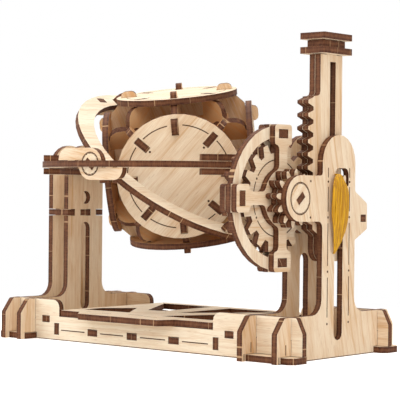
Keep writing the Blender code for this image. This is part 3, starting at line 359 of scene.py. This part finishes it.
class Recipe:
    """The nodes of a material, or of the world, in the making."""

    def __init__(self, owner):
        self.owner = owner
        self.owner.use_nodes = True
        self.tree = owner.node_tree
        self.shader = self.tree.nodes.get("Principled BSDF")

    def node(self, kind, settings, values, output=0):
        """A node of that kind, with its settings made first and then its sockets filled."""
        made = self.tree.nodes.new(kind)
        for key, value in settings.items():
            setattr(made, key, value)
        for key, value in values.items():
            if isinstance(value, Signal):
                self.tree.links.new(value.socket, made.inputs[key])
            else:
                made.inputs[key].default_value = value
        return Signal(self, made.outputs[output])

    def feed(self, node, signals):
        """Signals into the sockets of a node that is there already."""
        for name, signal in signals.items():
            self.tree.links.new(signal.socket, node.inputs[name])

    def place(self):
        return self.node("ShaderNodeTexCoord", {}, {}, "Object")

    def facing(self):
        return self.node("ShaderNodeTexCoord", {}, {}, "Normal")

    def seen(self):
        """1 for rays from the camera or off a mirror, and 0 for those that light the object."""
        camera = self.node("ShaderNodeLightPath", {}, {}, "Is Camera Ray")
        mirror = self.node("ShaderNodeLightPath", {}, {}, "Is Glossy Ray")
        return camera.larger(mirror)

    def along(self, vector, axis, scale=1.0):
        """How far a vector reaches along an axis."""
        values = {0: vector, 1: tuple(scale * v for v in axis)}
        return self.node("ShaderNodeVectorMath", {"operation": "DOT_PRODUCT"}, values, "Value")

    def point(self, x, y, z):
        return self.node("ShaderNodeCombineXYZ", {}, {0: x, 1: y, 2: z})

    def noise(self, point, scale=1.0, detail=2.0, roughness=0.5):
        values = {"Vector": point, "Scale": scale, "Detail": detail, "Roughness": roughness}
        return self.node("ShaderNodeTexNoise", {}, values, "Fac")

    def pattern(self, point, steps, detail, roughness):
        """Noise on a point whose three parts are first multiplied by their steps."""
        stretched = self.node("ShaderNodeVectorMath", {"operation": "MULTIPLY"}, {0: point, 1: steps})
        return self.noise(stretched, 1.0, detail, roughness)

    def mix(self, share, first, second):
        """The first colour where share is 0 and the second where it is 1."""
        first, second = (c if isinstance(c, Signal) else (*c, 1.0) for c in (first, second))
        values = {0: share, 6: first, 7: second}
        return self.node("ShaderNodeMix", {"data_type": "RGBA"}, values, 2)

    def bump(self, height, depth):
        values = {"Height": height, "Distance": depth * MM, "Strength": 1.0}
        return self.node("ShaderNodeBump", {}, values)

    def finish(self, colour, roughness, normal, gloss):
        """The material, once what varies over it is linked and its even gloss is set."""
        self.feed(self.shader, {"Base Color": colour, "Roughness": roughness, "Normal": normal})
        self.shader.inputs["Specular IOR Level"].default_value = gloss
        return self.owner


class Ply(Recipe):
    """Birch ply in the making: u runs along its grain, v across it and w through the sheet, in mm."""

    def __init__(self, name, axis, middle, grain, seed):
        super().__init__(bpy.data.materials.new(name))
        self.seed = seed
        self.spot = self.place()
        self.u = self.along(self.spot, grain, 1 / MM) + seed
        self.v = self.along(self.spot, np.cross(axis, grain), 1 / MM)
        self.w = self.along(self.spot, axis, 1 / MM) - middle
        self.sheet = self.point(self.u, self.v, self.w)
        self.layer = self.point(self.u, self.v, seed)
        self.fibres = self.pattern(self.sheet, *FIBRES)
        self.streaks = self.pattern(self.sheet, *STREAKS)

    def showing(self, faces):
        """1 where one of the faces shows, and 0 on the cut edges.

        Each face is a direction, the axis that its place is measured along, and the stretch where it holds.
        """
        facing = self.facing()
        shown = None
        for direction, gauge, low, high in faces:
            share = abs(self.along(facing, direction)).smooth(*FACE_TURN)
            if low > -FAR or high < FAR:
                where = self.along(self.spot, gauge, 1 / MM)
                share = share * where.smooth(low - END_SOFT, low + END_SOFT)
                share = share * where.smooth(high + END_SOFT, high - END_SOFT)
            shown = share if shown is None else shown.larger(share)
        return shown

    def face(self, tone, back):
        """Pale birch with fibres, figure, growth lines and pores; back signs the side that gets painted
        shade, the face of a disc that looks into the cube, or is 0.
        """
        warp = self.pattern(self.layer, *WARP)
        figure = self.pattern(self.point(warp, self.v, self.seed), *FIGURE)
        drift = warp * GROWTH_WARP + self.u * GROWTH_DRIFT
        growth = self.pattern(self.point(drift, self.v, self.seed), *GROWTH)
        cloud = self.noise(self.spot, CLOUDS_PER_METRE)
        depth = self.fibres.weighed(*FIBRE_TONE) + figure.weighed(*FIGURE_TONE)
        # The tone is the ply's own, and painted shade for the cube's corner posts and frames
        depth = depth + growth.weighed(*GROWTH_TONE) + cloud.weighed(*CLOUD_TONE) + (tone + TONE_START)
        # Painted shade on the face of a disc that looks into the cube
        if back:
            depth = depth + (self.w * back).weighed(*INNER_FACE_SHADE)
        birch = self.mix(depth, BIRCH_LIGHT, BIRCH_DEEP)
        # Past full depth the birch turns orange: painted warm shade of the cube's inside, on the corner
        # posts, the frames and the inner faces of the discs
        birch = self.mix(depth - 1, birch, WARM_SHADE_BIRCH)
        pores = self.pattern(self.sheet, *PORES)
        return self.mix(pores.weighed(*PORE_TONE), birch, BIRCH_FLECK)

    def edge(self):
        """Veneers burnt dark, with warmer streaks and core, darker glue lines and a few pale nibs."""
        scorch = self.pattern(self.sheet, *SCORCH)
        off_middle = abs(self.w)
        heat = self.streaks.weighed(*STREAK_HEAT) + off_middle.weighed(*CORE_HEAT)
        heat = heat + scorch.weighed(*SCORCH_HEAT)
        burnt = self.mix(heat, BURNT_DARK, BURNT_WARM)
        off_glue = abs(off_middle - GLUE_LINE)
        burnt = self.mix(off_glue.weighed(*GLUE_TONE), burnt, BURNT_DARK)
        off_nib = abs(self.pattern(self.layer, *NIBS) - NIB_LEVEL)
        return self.mix(off_nib.weighed(*NIB_TONE), burnt, BURNT_PALE)


def ply_finish(name, faces, middle, grain, tone, seed, back):
    """Birch ply: fibres and figure on its faces, burnt and streaked veneers on every cut edge."""
    ply = Ply(name, faces[0][0], middle, grain, seed)
    on_face = ply.showing(faces)
    colour = ply.mix(on_face, ply.edge(), ply.face(tone, back))
    relief = on_face * ply.fibres * FIBRE_RELIEF + (1 - on_face) * ply.streaks
    return ply.finish(colour, ply.fibres.swung(*PLY_ROUGH), ply.bump(relief, PLY_RELIEF), WOOD_GLOSS)


def line_finish():
    """Wood scorched by a light pass of the laser; the same dark material also paints the contact shadow
    lines along the feet.
    """
    recipe = Recipe(bpy.data.materials.new("engraved_line"))
    speck = recipe.noise(recipe.place(), LINE_SPECKS_PER_METRE)
    colour = recipe.mix(speck.smooth(*LINE_SPECK_STEP), LINE_DARK, LINE_PALE)
    return recipe.finish(colour, speck.swung(*LINE_ROUGH), recipe.bump(speck, LINE_RELIEF), WOOD_GLOSS)


def band_finish():
    """Natural rubber, amber and slightly dusty, with fine lines along its length."""
    recipe = Recipe(bpy.data.materials.new("amber_rubber"))
    place = recipe.place()
    stretch = recipe.pattern(place, *BAND_LINES)
    cloud = recipe.noise(place, BAND_CLOUDS_PER_METRE)
    light = stretch.weighed(*BAND_LINE_TONE) + cloud * BAND_CLOUD_TONE
    colour = recipe.mix(light, BAND_DEEP, BAND_LIGHT)
    return recipe.finish(colour, cloud.swung(*BAND_ROUGH), recipe.bump(stretch, BAND_RELIEF), RUBBER_GLOSS)


def floor_finish():
    """Near the object the floor takes its shadow; further off it is plain white to the camera."""
    recipe = Recipe(bpy.data.materials.new("white_floor"))
    recipe.tree.nodes.remove(recipe.shader)
    seen = recipe.seen()
    far = recipe.node("ShaderNodeVectorMath", {"operation": "LENGTH"}, {0: recipe.place()}, "Value")
    near_floor = recipe.node("ShaderNodeBsdfDiffuse", {}, {"Color": FLOOR_WHITE})
    glow = recipe.node("ShaderNodeEmission", {}, {"Strength": seen * FLOOR_GLOW})
    near_floor = recipe.node("ShaderNodeAddShader", {}, {0: near_floor, 1: glow})
    white = recipe.node("ShaderNodeEmission", {}, {"Strength": 1.0})
    share = seen * far.smooth(FLOOR_NEAR, FLOOR_FAR)
    both = recipe.node("ShaderNodeMixShader", {}, {0: share, 1: near_floor, 2: white})
    recipe.feed(recipe.tree.nodes["Material Output"], {"Surface": both})
    return recipe.owner


def triangles(obj):
    """Corner points of each triangle of a mesh, with its unit normal and its area."""
    mesh = obj.data
    mesh.calc_loop_triangles()
    points = np.empty(len(mesh.vertices) * 3)
    mesh.vertices.foreach_get("co", points)
    corners = np.empty(len(mesh.loop_triangles) * 3, np.int32)
    mesh.loop_triangles.foreach_get("vertices", corners)
    points = points.reshape(-1, 3)
    sides = points[corners.reshape(-1, 3)]
    cross = np.cross(sides[:, 1] - sides[:, 0], sides[:, 2] - sides[:, 0])
    area = np.linalg.norm(cross, axis=1) / 2
    keep = area > LEAST_AREA
    return sides[keep], cross[keep] / (2 * area[keep, None]), area[keep]


def sheet_axis(obj):
    """The direction that most of a node's surface faces, and its ply's middle plane along it in mm."""
    sides, normal, area = triangles(obj)
    share = [area[np.abs(normal @ axis) > ALIKE].sum() for axis in normal]
    axis = normal[int(np.argmax(share))]
    if axis[np.argmax(np.abs(axis))] < 0:
        axis = -axis
    flat = sides[np.abs(normal @ axis) > ALIKE] @ axis
    return axis, float((flat.min() + flat.max()) / 2 / MM)


def longest_way(obj, axis):
    """The way in which a node reaches furthest across its sheet."""
    sides, _, _ = triangles(obj)
    points = sides.reshape(-1, 3)
    flat = points - np.outer(points @ axis, axis)
    flat = flat - flat.mean(axis=0)
    _, _, directions = np.linalg.svd(flat, full_matrices=False)
    return directions[0]


def reach(obj, axis):
    """The lowest and highest place of a node's surface along an axis, in mm."""
    sides, _, _ = triangles(obj)
    along = sides.reshape(-1, 3) @ axis / MM
    return float(along.min()), float(along.max())


def spread(name, letter):
    """The lowest and highest place of a node's box along x, y or z, in mm."""
    index = "xyz".index(letter)
    low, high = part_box(name)
    return low[index] / MM, high[index] / MM


def joint_named(name):
    return next(joint for joint in frame["joints"] if joint["name"] == name)


def joint_place(name):
    """Where a joint's axis passes, in mm."""
    return np.array(joint_named(name)["pos_m"]) / MM


def joint_axis(name):
    return np.array(joint_named(name)["axis"], float)


def disc_middle(side):
    low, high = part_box(f"cube_{side}_disc")
    return (np.array(low) + np.array(high)) / 2 / MM


def cube_axes():
    """The cube's own three directions, from its middle towards the right, top and front discs."""
    middle = joint_place("cube_spin")
    rays = [disc_middle(side) - middle for side in ("right", "top", "front")]
    return [ray / np.linalg.norm(ray) for ray in rays]


def corner_faces(obj, number):
    """The faces of the plies that meet at both ends of a corner post, each kept to its own end."""
    right, top, front = cube_axes()
    middle = float(joint_place("cube_spin") @ front)
    sign_right, sign_top = CORNER_SIGNS[number - 1]
    faces = []
    for end in (-1, 1):
        stretch = (middle + CORNER_SPLIT, FAR) if end > 0 else (-FAR, middle - CORNER_SPLIT)
        for direction in (top * end - front * sign_top, front * sign_right - right * end):
            faces.append((direction / math.sqrt(2), front, *stretch))
    axle = joint_axis("cube_spin")
    low, high = reach(obj, axle)
    faces.append((axle, axle, low + END_GRAIN, high - END_GRAIN))
    return faces


def faces_of(name, obj, axis):
    """The directions that show a ply's face on a node; ends of bars and pins stay burnt."""
    own = (axis, axis, -FAR, FAR)
    if name == "flywheel_rear_yoke":
        _, high = reach(obj, X_AXIS)
        return [(X_AXIS, X_AXIS, -FAR, high - END_GRAIN)]
    if name == "ratchet_hub":
        low, high = spread("flywheel_front_yoke", "x")
        return [(X_AXIS, X_AXIS, low - END_GRAIN, high + END_GRAIN)]
    if name == "flywheel_axle":
        low, high = reach(obj, X_AXIS)
        return [own, (X_AXIS, X_AXIS, low + END_GRAIN, high - END_GRAIN)]
    if name == "outer_ring":
        low, high = reach(obj, X_AXIS)
        tongue = (X_AXIS, X_AXIS, low + END_GRAIN, low + LONG_TONGUE)
        return [own, tongue, (X_AXIS, X_AXIS, high - BUSHING_DEPTH, FAR)]
    if name == "inner_ring":
        low, high = reach(obj, Y_AXIS)
        near = (Y_AXIS, Y_AXIS, low + END_GRAIN, low + BUSHING_DEPTH)
        return [own, near, (Y_AXIS, Y_AXIS, high - BUSHING_DEPTH, high - END_GRAIN)]
    if name.startswith("cube_corner_post"):
        return [own, *corner_faces(obj, int(name[-1]))]
    return [own]


def shaded_side_of_disc(axis, middle):
    """The sign, along its axis, of the side of a disc that looks into the cube, which gets painted shade."""
    outward = middle - float(joint_place("cube_spin") @ axis)
    return -1 if outward > 0 else 1


def dress_plies():
    """Each CAD node keeps its shape and gets its own sheet of ply."""
    random = np.random.default_rng(CHANCE)
    for name, obj in sorted(frame["nodes"].items()):
        tone = random.uniform(*TONE_SPREAD)
        seed = random.uniform(*SEED_SPREAD)
        if name == "return_band":
            continue
        is_disc = name.endswith("_disc")
        axis, middle = sheet_axis(obj)
        if name == "flywheel_axle":
            axis, middle = np.array((0.0, math.sin(AXLE_TURN), math.cos(AXLE_TURN))), 0.0
        grain = DISC_GRAIN if is_disc else longest_way(obj, axis)
        grain = grain - axis * float(grain @ axis)
        grain = grain / np.linalg.norm(grain)
        # Discs get painted shade on the face that looks into the cube
        back = shaded_side_of_disc(axis, middle) if is_disc else 0
        faces = faces_of(name, obj, axis)
        # The listed tones include painted shade for the cube's corner posts and frames
        material = ply_finish(name + "_birch", faces, middle, grain, PLY_TONES_AND_SHADE.get(name, tone), seed, back)
        obj.data.materials.clear()
        obj.data.materials.append(material)


def new_piece(name, points, faces, material, body):
    """A mesh piece in place in the row frame, which rides on a body if it has one."""
    mesh = bpy.data.meshes.new(name)
    mesh.from_pydata((np.asarray(points) * MM).tolist(), [], faces)
    mesh.materials.append(material)
    obj = bpy.data.objects.new(name, mesh)
    bpy.context.scene.collection.objects.link(obj)
    if body:
        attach(obj, body)
    return obj


def joined(surfaces):
    """Several surfaces as one: all their points, and their faces numbered on from each other."""
    points, faces = [], []
    start = 0
    for own_points, own_faces in surfaces:
        points.append(own_points)
        faces += [[i + start for i in face] for face in own_faces]
        start += len(own_points)
    return np.concatenate(points), faces


def ribbon(centres, sides, out, closed):
    """A thin strip along a path, with four points in each of its rows.

    They are centre minus side and centre plus side, moved out by PROUD, and the same two moved in by SUNK.
    """
    top = out * PROUD
    low = out * -SUNK
    rows = np.stack([centres - sides + top, centres + sides + top,
                     centres + sides + low, centres - sides + low], axis=1)
    count = len(rows)
    steps = np.arange(count if closed else count - 1)
    after = (steps + 1) % count
    faces = [np.stack([steps * 4 + k, after * 4 + k,
                       after * 4 + (k + 1) % 4, steps * 4 + (k + 1) % 4], axis=1) for k in range(4)]
    faces = np.concatenate(faces).tolist()
    if not closed:
        last = (count - 1) * 4
        faces += [[0, 1, 2, 3], [last + 3, last + 2, last + 1, last]]
    return rows.reshape(-1, 3), faces


class Engraving:
    """Lines cut lightly into one face of a node, kept as one piece."""

    def __init__(self, name, node, origin, across, up):
        self.name = name
        self.node = node
        self.origin = np.array(origin, float)
        self.across = across
        self.up = up
        self.out = np.cross(across, up)
        self.surfaces = []

    def turned(self, flat):
        """Steps across and up the face as steps in the row frame."""
        return flat[:, :1] * self.across + flat[:, 1:] * self.up

    def line(self, start, end, width=LINE_WIDTH):
        flat = np.array([start, end], float)
        run = (flat[1] - flat[0]) / np.linalg.norm(flat[1] - flat[0])
        side = np.array([[-run[1], run[0]]]) * width / 2
        centres = self.origin + self.turned(flat)
        self.surfaces.append(ribbon(centres, self.turned(side), self.out, False))

    def arc(self, radius, start, end, centre=(0.0, 0.0), width=LINE_WIDTH):
        """A stretch of a circle, from one angle to another in degrees."""
        closed = abs(end - start) >= 360
        count = max(ARC_LEAST, int(abs(end - start) / ARC_STEP))
        angles = np.radians(np.linspace(start, end, count + 1))
        if closed:
            angles = angles[:-1]
        rays = np.stack([np.cos(angles), np.sin(angles)], axis=1)
        centres = self.origin + self.turned(rays * radius + centre)
        self.surfaces.append(ribbon(centres, self.turned(rays) * -width / 2, self.out, closed))

    def circle(self, radius, centre=(0.0, 0.0)):
        self.arc(radius, 0, 360, centre, CIRCLE_WIDTH)

    def dot(self, x, y):
        """A small prism: its corners lie on a circle round the place, once moved out and once moved in."""
        angles = np.radians(np.arange(0, 360, 360 / DOT_CORNERS))
        rim = np.stack([np.cos(angles), np.sin(angles)], axis=1) * DOT_RADIUS + (x, y)
        rim = self.origin + self.turned(rim)
        corner = np.arange(DOT_CORNERS)
        after = (corner + 1) % DOT_CORNERS
        walls = np.stack([corner, corner + DOT_CORNERS, after + DOT_CORNERS, after], axis=1)
        faces = [corner.tolist(), (2 * DOT_CORNERS - 1 - corner).tolist(), *walls.tolist()]
        self.surfaces.append((np.concatenate([rim + self.out * PROUD, rim - self.out * SUNK]), faces))

    def dot_at(self, radius, angle):
        """A dot at a distance from the origin, at an angle in degrees."""
        self.dot(radius * math.cos(math.radians(angle)), radius * math.sin(math.radians(angle)))

    def cut(self, material):
        """All the lines as one piece that rides with the node."""
        points, faces = joined(self.surfaces)
        body = body_of(frame["nodes"][self.node])[0]
        obj = new_piece(self.name, points, faces, material, body)


def engrave_discs(material):
    """A broken circle between the tenons of each disc, and a dot inside each corner tenon."""
    middle = joint_place("cube_spin")
    right, top, front = cube_axes()
    sides = {
        "front": (right, top, front),
        "rear": (right, -top, -front),
        "right": (-front, top, right),
        "left": (front, top, -right),
        "top": (right, -front, top),
        "bottom": (right, front, -top),
    }
    for side, (across, up, out) in sides.items():
        node = f"cube_{side}_disc"
        _, high = reach(frame["nodes"][node], out)
        face = middle + out * (high - float(middle @ out))
        lines = Engraving(side + "_disc_lines", node, face, across, up)
        for step in range(8):
            start = step * EIGHTH
            first, last = DISC_GAPS if step % 2 == 0 else (EIGHTH - DISC_GAPS[1], EIGHTH - DISC_GAPS[0])
            lines.arc(DISC_LINE, start + first, start + last)
        for quarter in range(4):
            lines.dot_at(DISC_DOTS, EIGHTH + 2 * EIGHTH * quarter)
        lines.cut(material)


def engrave_wheel(material):
    """A circle of six dashes and dots on the ratchet wheel's outer face."""
    _, y, z = joint_place("pinion_spin")
    face = spread("ratchet_wheel", "x")[1]
    lines = Engraving("ratchet_lines", "ratchet_wheel", (face, y, z), Y_AXIS, Z_AXIS)
    for step in range(6):
        start = SIXTH / 2 + SIXTH * step
        lines.arc(RATCHET_LINE, start + RATCHET_GAP, start + SIXTH - RATCHET_GAP)
        lines.dot_at(RATCHET_LINE, start)
    lines.cut(material)


def engrave_toe(lines):
    """Two short upright marks at a post's front toe."""
    for y, low, high in TOE_MARKS:
        lines.line((-y, low), (-y, high))


def engrave_posts(material):
    """Lines and dots beside the band, a circle round the axle, a painted contact shadow line along the foot
    and marks at the toes.
    """
    face = spread("right_outer_post", "x")[1]
    lines = Engraving("right_outer_post_lines", "right_outer_post", (face, 0, 0), Y_AXIS, Z_AXIS)
    for y in POST_LINES_Y:
        for low, high in POST_DASHES_Z:
            lines.line((y, low), (y, high))
        for z in POST_DOTS_Z:
            lines.dot(y, z)
    for y, z in BOSS_DOTS:
        lines.dot(y, z)
    _, y, z = joint_place("flywheel_spin")
    lines.circle(BUSHING_RADIUS + CIRCLE_GAP, (y, z))
    # Painted contact shadow: a dark line just above the post's foot, drawn like an engraving
    low, high = spread("right_outer_post", "y")
    lines.line((low + SHADOW_INSET_POST, SHADOW_LINE_HEIGHT), (high - SHADOW_INSET_POST, SHADOW_LINE_HEIGHT), SHADOW_LINE_WIDTH)
    engrave_toe(lines)
    lines.cut(material)

    face = spread("right_inner_post", "x")[1]
    lines = Engraving("right_inner_post_lines", "right_inner_post", (face, 0, 0), Y_AXIS, Z_AXIS)
    engrave_toe(lines)
    lines.cut(material)


def engrave_bearings(material):
    """A dark circle round the bushing in the outer ring's front bearing plate."""
    x, _, z = joint_place("inner_ring_spin")
    face = spread("front_bearing_plate", "y")[0]
    lines = Engraving("front_bearing_circle", "front_bearing_plate", (x, face, z), X_AXIS, Z_AXIS)
    lines.circle(BEARING_BUSHING + CIRCLE_GAP)
    lines.cut(material)


def engrave_rails(material):
    """Long dashes and a painted contact shadow line along the foot of both rails, and light dashes along the
    front tray's lip.
    """
    near = spread("front_rail", "y")[0]
    far = spread("rear_rail", "y")[1]
    for name, face, across in (("front_rail", near, 1), ("rear_rail", far, -1)):
        lines = Engraving(name + "_lines", name, (0, face, 0), X_AXIS * across, Z_AXIS)
        for start, end in RAIL_DASHES_X:
            lines.line((across * start, RAIL_LINE_Z), (across * end, RAIL_LINE_Z))
        # Painted contact shadow: a dark line just above the rail's foot, drawn like an engraving
        low, high = spread(name, "x")
        lines.line((low + SHADOW_INSET_RAIL, SHADOW_LINE_HEIGHT), (high - SHADOW_INSET_RAIL, SHADOW_LINE_HEIGHT), SHADOW_LINE_WIDTH)
        lines.cut(material)
    face = spread("front_tray", "z")[1]
    lines = Engraving("lip_lines", "front_tray", (0, 0, face), X_AXIS, Y_AXIS)
    for start, end, y in LIP_DASHES:
        lines.line((start, y), (end, y), LIP_WIDTH)
    lines.cut(material)


def smooth_path(points, count):
    """A curve through the points.

    Between two of them it is the cubic whose slope at each is half the step between that one's neighbours.
    """
    points = np.asarray(points, float)
    padded = np.concatenate([2 * points[:1] - points[1:2], points, 2 * points[-1:] - points[-2:-1]])
    where = np.linspace(0, len(points) - 1, count)
    index = np.minimum(where.astype(int), len(points) - 2)
    t = (where - index)[:, None]
    a, b, c, d = (padded[index + k] for k in range(4))
    return b + t / 2 * (c - a) + t**2 * (a - 2.5 * b + 2 * c - d / 2) + t**3 * (1.5 * (b - c) + (d - a) / 2)


def tube(centres, radii, count):
    """Each centre of a path plus its radius times a circle square to the path, closed at both ends."""
    along = np.gradient(centres, axis=0)
    along /= np.linalg.norm(along, axis=1)[:, None]
    side = np.cross(along, X_AXIS)
    side /= np.linalg.norm(side, axis=1)[:, None]
    out = np.cross(side, along)
    turn = np.linspace(0, 2 * math.pi, count, endpoint=False)
    circles = side[:, None] * np.cos(turn)[None, :, None] + out[:, None] * np.sin(turn)[None, :, None]
    points = centres[:, None] + radii[:, None, None] * circles
    i, j = np.meshgrid(np.arange(len(centres) - 1), np.arange(count), indexing="ij")
    k = (j + 1) % count
    quads = np.stack([i * count + j, (i + 1) * count + j, (i + 1) * count + k, i * count + k], axis=-1)
    cap = np.arange(count)
    last = len(centres) * count - 1 - cap
    return points.reshape(-1, 3), [*quads.reshape(-1, 4).tolist(), cap.tolist(), last.tolist()]


def make_band(material):
    """A bunch of strands along one route.

    Each is set off sideways by its share of the half width, from -1 to 1, and bulges by 1 - share squared.
    """
    height, half, middle_y, middle_x = smooth_path(BAND_ROUTE, BAND_STEPS).T
    swell = half / half.max()
    radii = STRAND_RADIUS * (STRAND_THIN + (1 - STRAND_THIN) * swell)
    strands = []
    for strand in range(BAND_STRANDS):
        share = 2 * strand / (BAND_STRANDS - 1) - 1
        ripple = RIPPLE * np.sin(height * RIPPLE_PER_MM + strand * RIPPLE_PER_STRAND)
        centres = np.stack([
            middle_x + STRAND_CROWN * (1 - share**2) * swell + ripple * RIPPLE_OUT,
            middle_y + half * share + ripple,
            height,
        ], axis=1)
        strands.append(tube(centres, radii, STRAND_SIDES))
    points, faces = joined(strands)
    band = new_piece("amber_band", points, faces, material, None)
    for polygon in band.data.polygons:
        polygon.use_smooth = True
    top, foot = (tuple(v * MM for v in (x, y, z)) for z, _, y, x in (BAND_HOOK_END, BAND_PEG_END))
    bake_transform(band, "base", "plunger", start=top, end=foot)
    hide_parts("return_band")


def make_camera():
    yaw, pitch, roll = CAMERA_YAW, CAMERA_PITCH, CAMERA_ROLL
    back = Vector((math.sin(yaw) * math.cos(pitch), -math.cos(yaw) * math.cos(pitch), math.sin(pitch)))
    level = Vector((math.cos(yaw), math.sin(yaw), 0))
    plumb = back.cross(level)
    right = math.cos(roll) * level + math.sin(roll) * plumb
    up = math.cos(roll) * plumb - math.sin(roll) * level
    data = bpy.data.cameras.new("photo_camera")
    data.sensor_width = SENSOR_WIDTH
    data.lens = CAMERA_LENS
    data.clip_start = CLIP_START
    data.clip_end = CLIP_END
    camera = bpy.data.objects.new("photo_camera", data)
    turn = Matrix((right, up, back)).transposed().to_4x4()
    camera.matrix_world = Matrix.Translation(Vector(CAMERA_PLACE) * MM) @ turn
    bpy.context.scene.collection.objects.link(camera)
    bpy.context.scene.camera = camera


def make_world():
    """An even warm light from all round, which the camera and mirrors see as white."""
    world = bpy.data.worlds.new("studio")
    bpy.context.scene.world = world
    recipe = Recipe(world)
    seen = recipe.seen()
    levels = {"Value": seen, "To Min": WORLD_LEVEL, "To Max": 1.0}
    strength = recipe.node("ShaderNodeMapRange", {}, levels, "Result")
    colour = recipe.mix(seen, WORLD_WARM, WHITE)
    recipe.feed(recipe.tree.nodes["Background"], {"Strength": strength, "Color": colour})


def make_floor():
    """A white floor that keeps the shadow."""
    corners = [(x * FLOOR_HALF, y * FLOOR_HALF, 0) for x, y in ((-1, -1), (1, -1), (1, 1), (-1, 1))]
    floor = new_piece("floor", corners, [(0, 1, 2, 3)], floor_finish(), None)


def make_lamp(name, place, target, size, power, colour):
    data = bpy.data.lights.new(name, "AREA")
    data.shape = "RECTANGLE"
    data.size, data.size_y = (s * MM for s in size)
    data.energy = power
    data.color = colour
    obj = bpy.data.objects.new(name, data)
    obj.location = Vector(place) * MM
    aim = (Vector(target) - Vector(place)).to_track_quat("-Z", "Y")
    obj.rotation_euler = aim.to_euler()
    bpy.context.scene.collection.objects.link(obj)


def make_studio():
    bpy.context.scene.view_settings.view_transform = "Standard"
    make_world()
    make_floor()
    for name, settings in LAMPS.items():
        make_lamp(name, *settings)


def main():
    make_camera()
    make_studio()
    dress_plies()
    burnt = line_finish()
    engrave_discs(burnt)
    engrave_wheel(burnt)
    engrave_posts(burnt)
    engrave_bearings(burnt)
    engrave_rails(burnt)
    make_band(band_finish())


main()
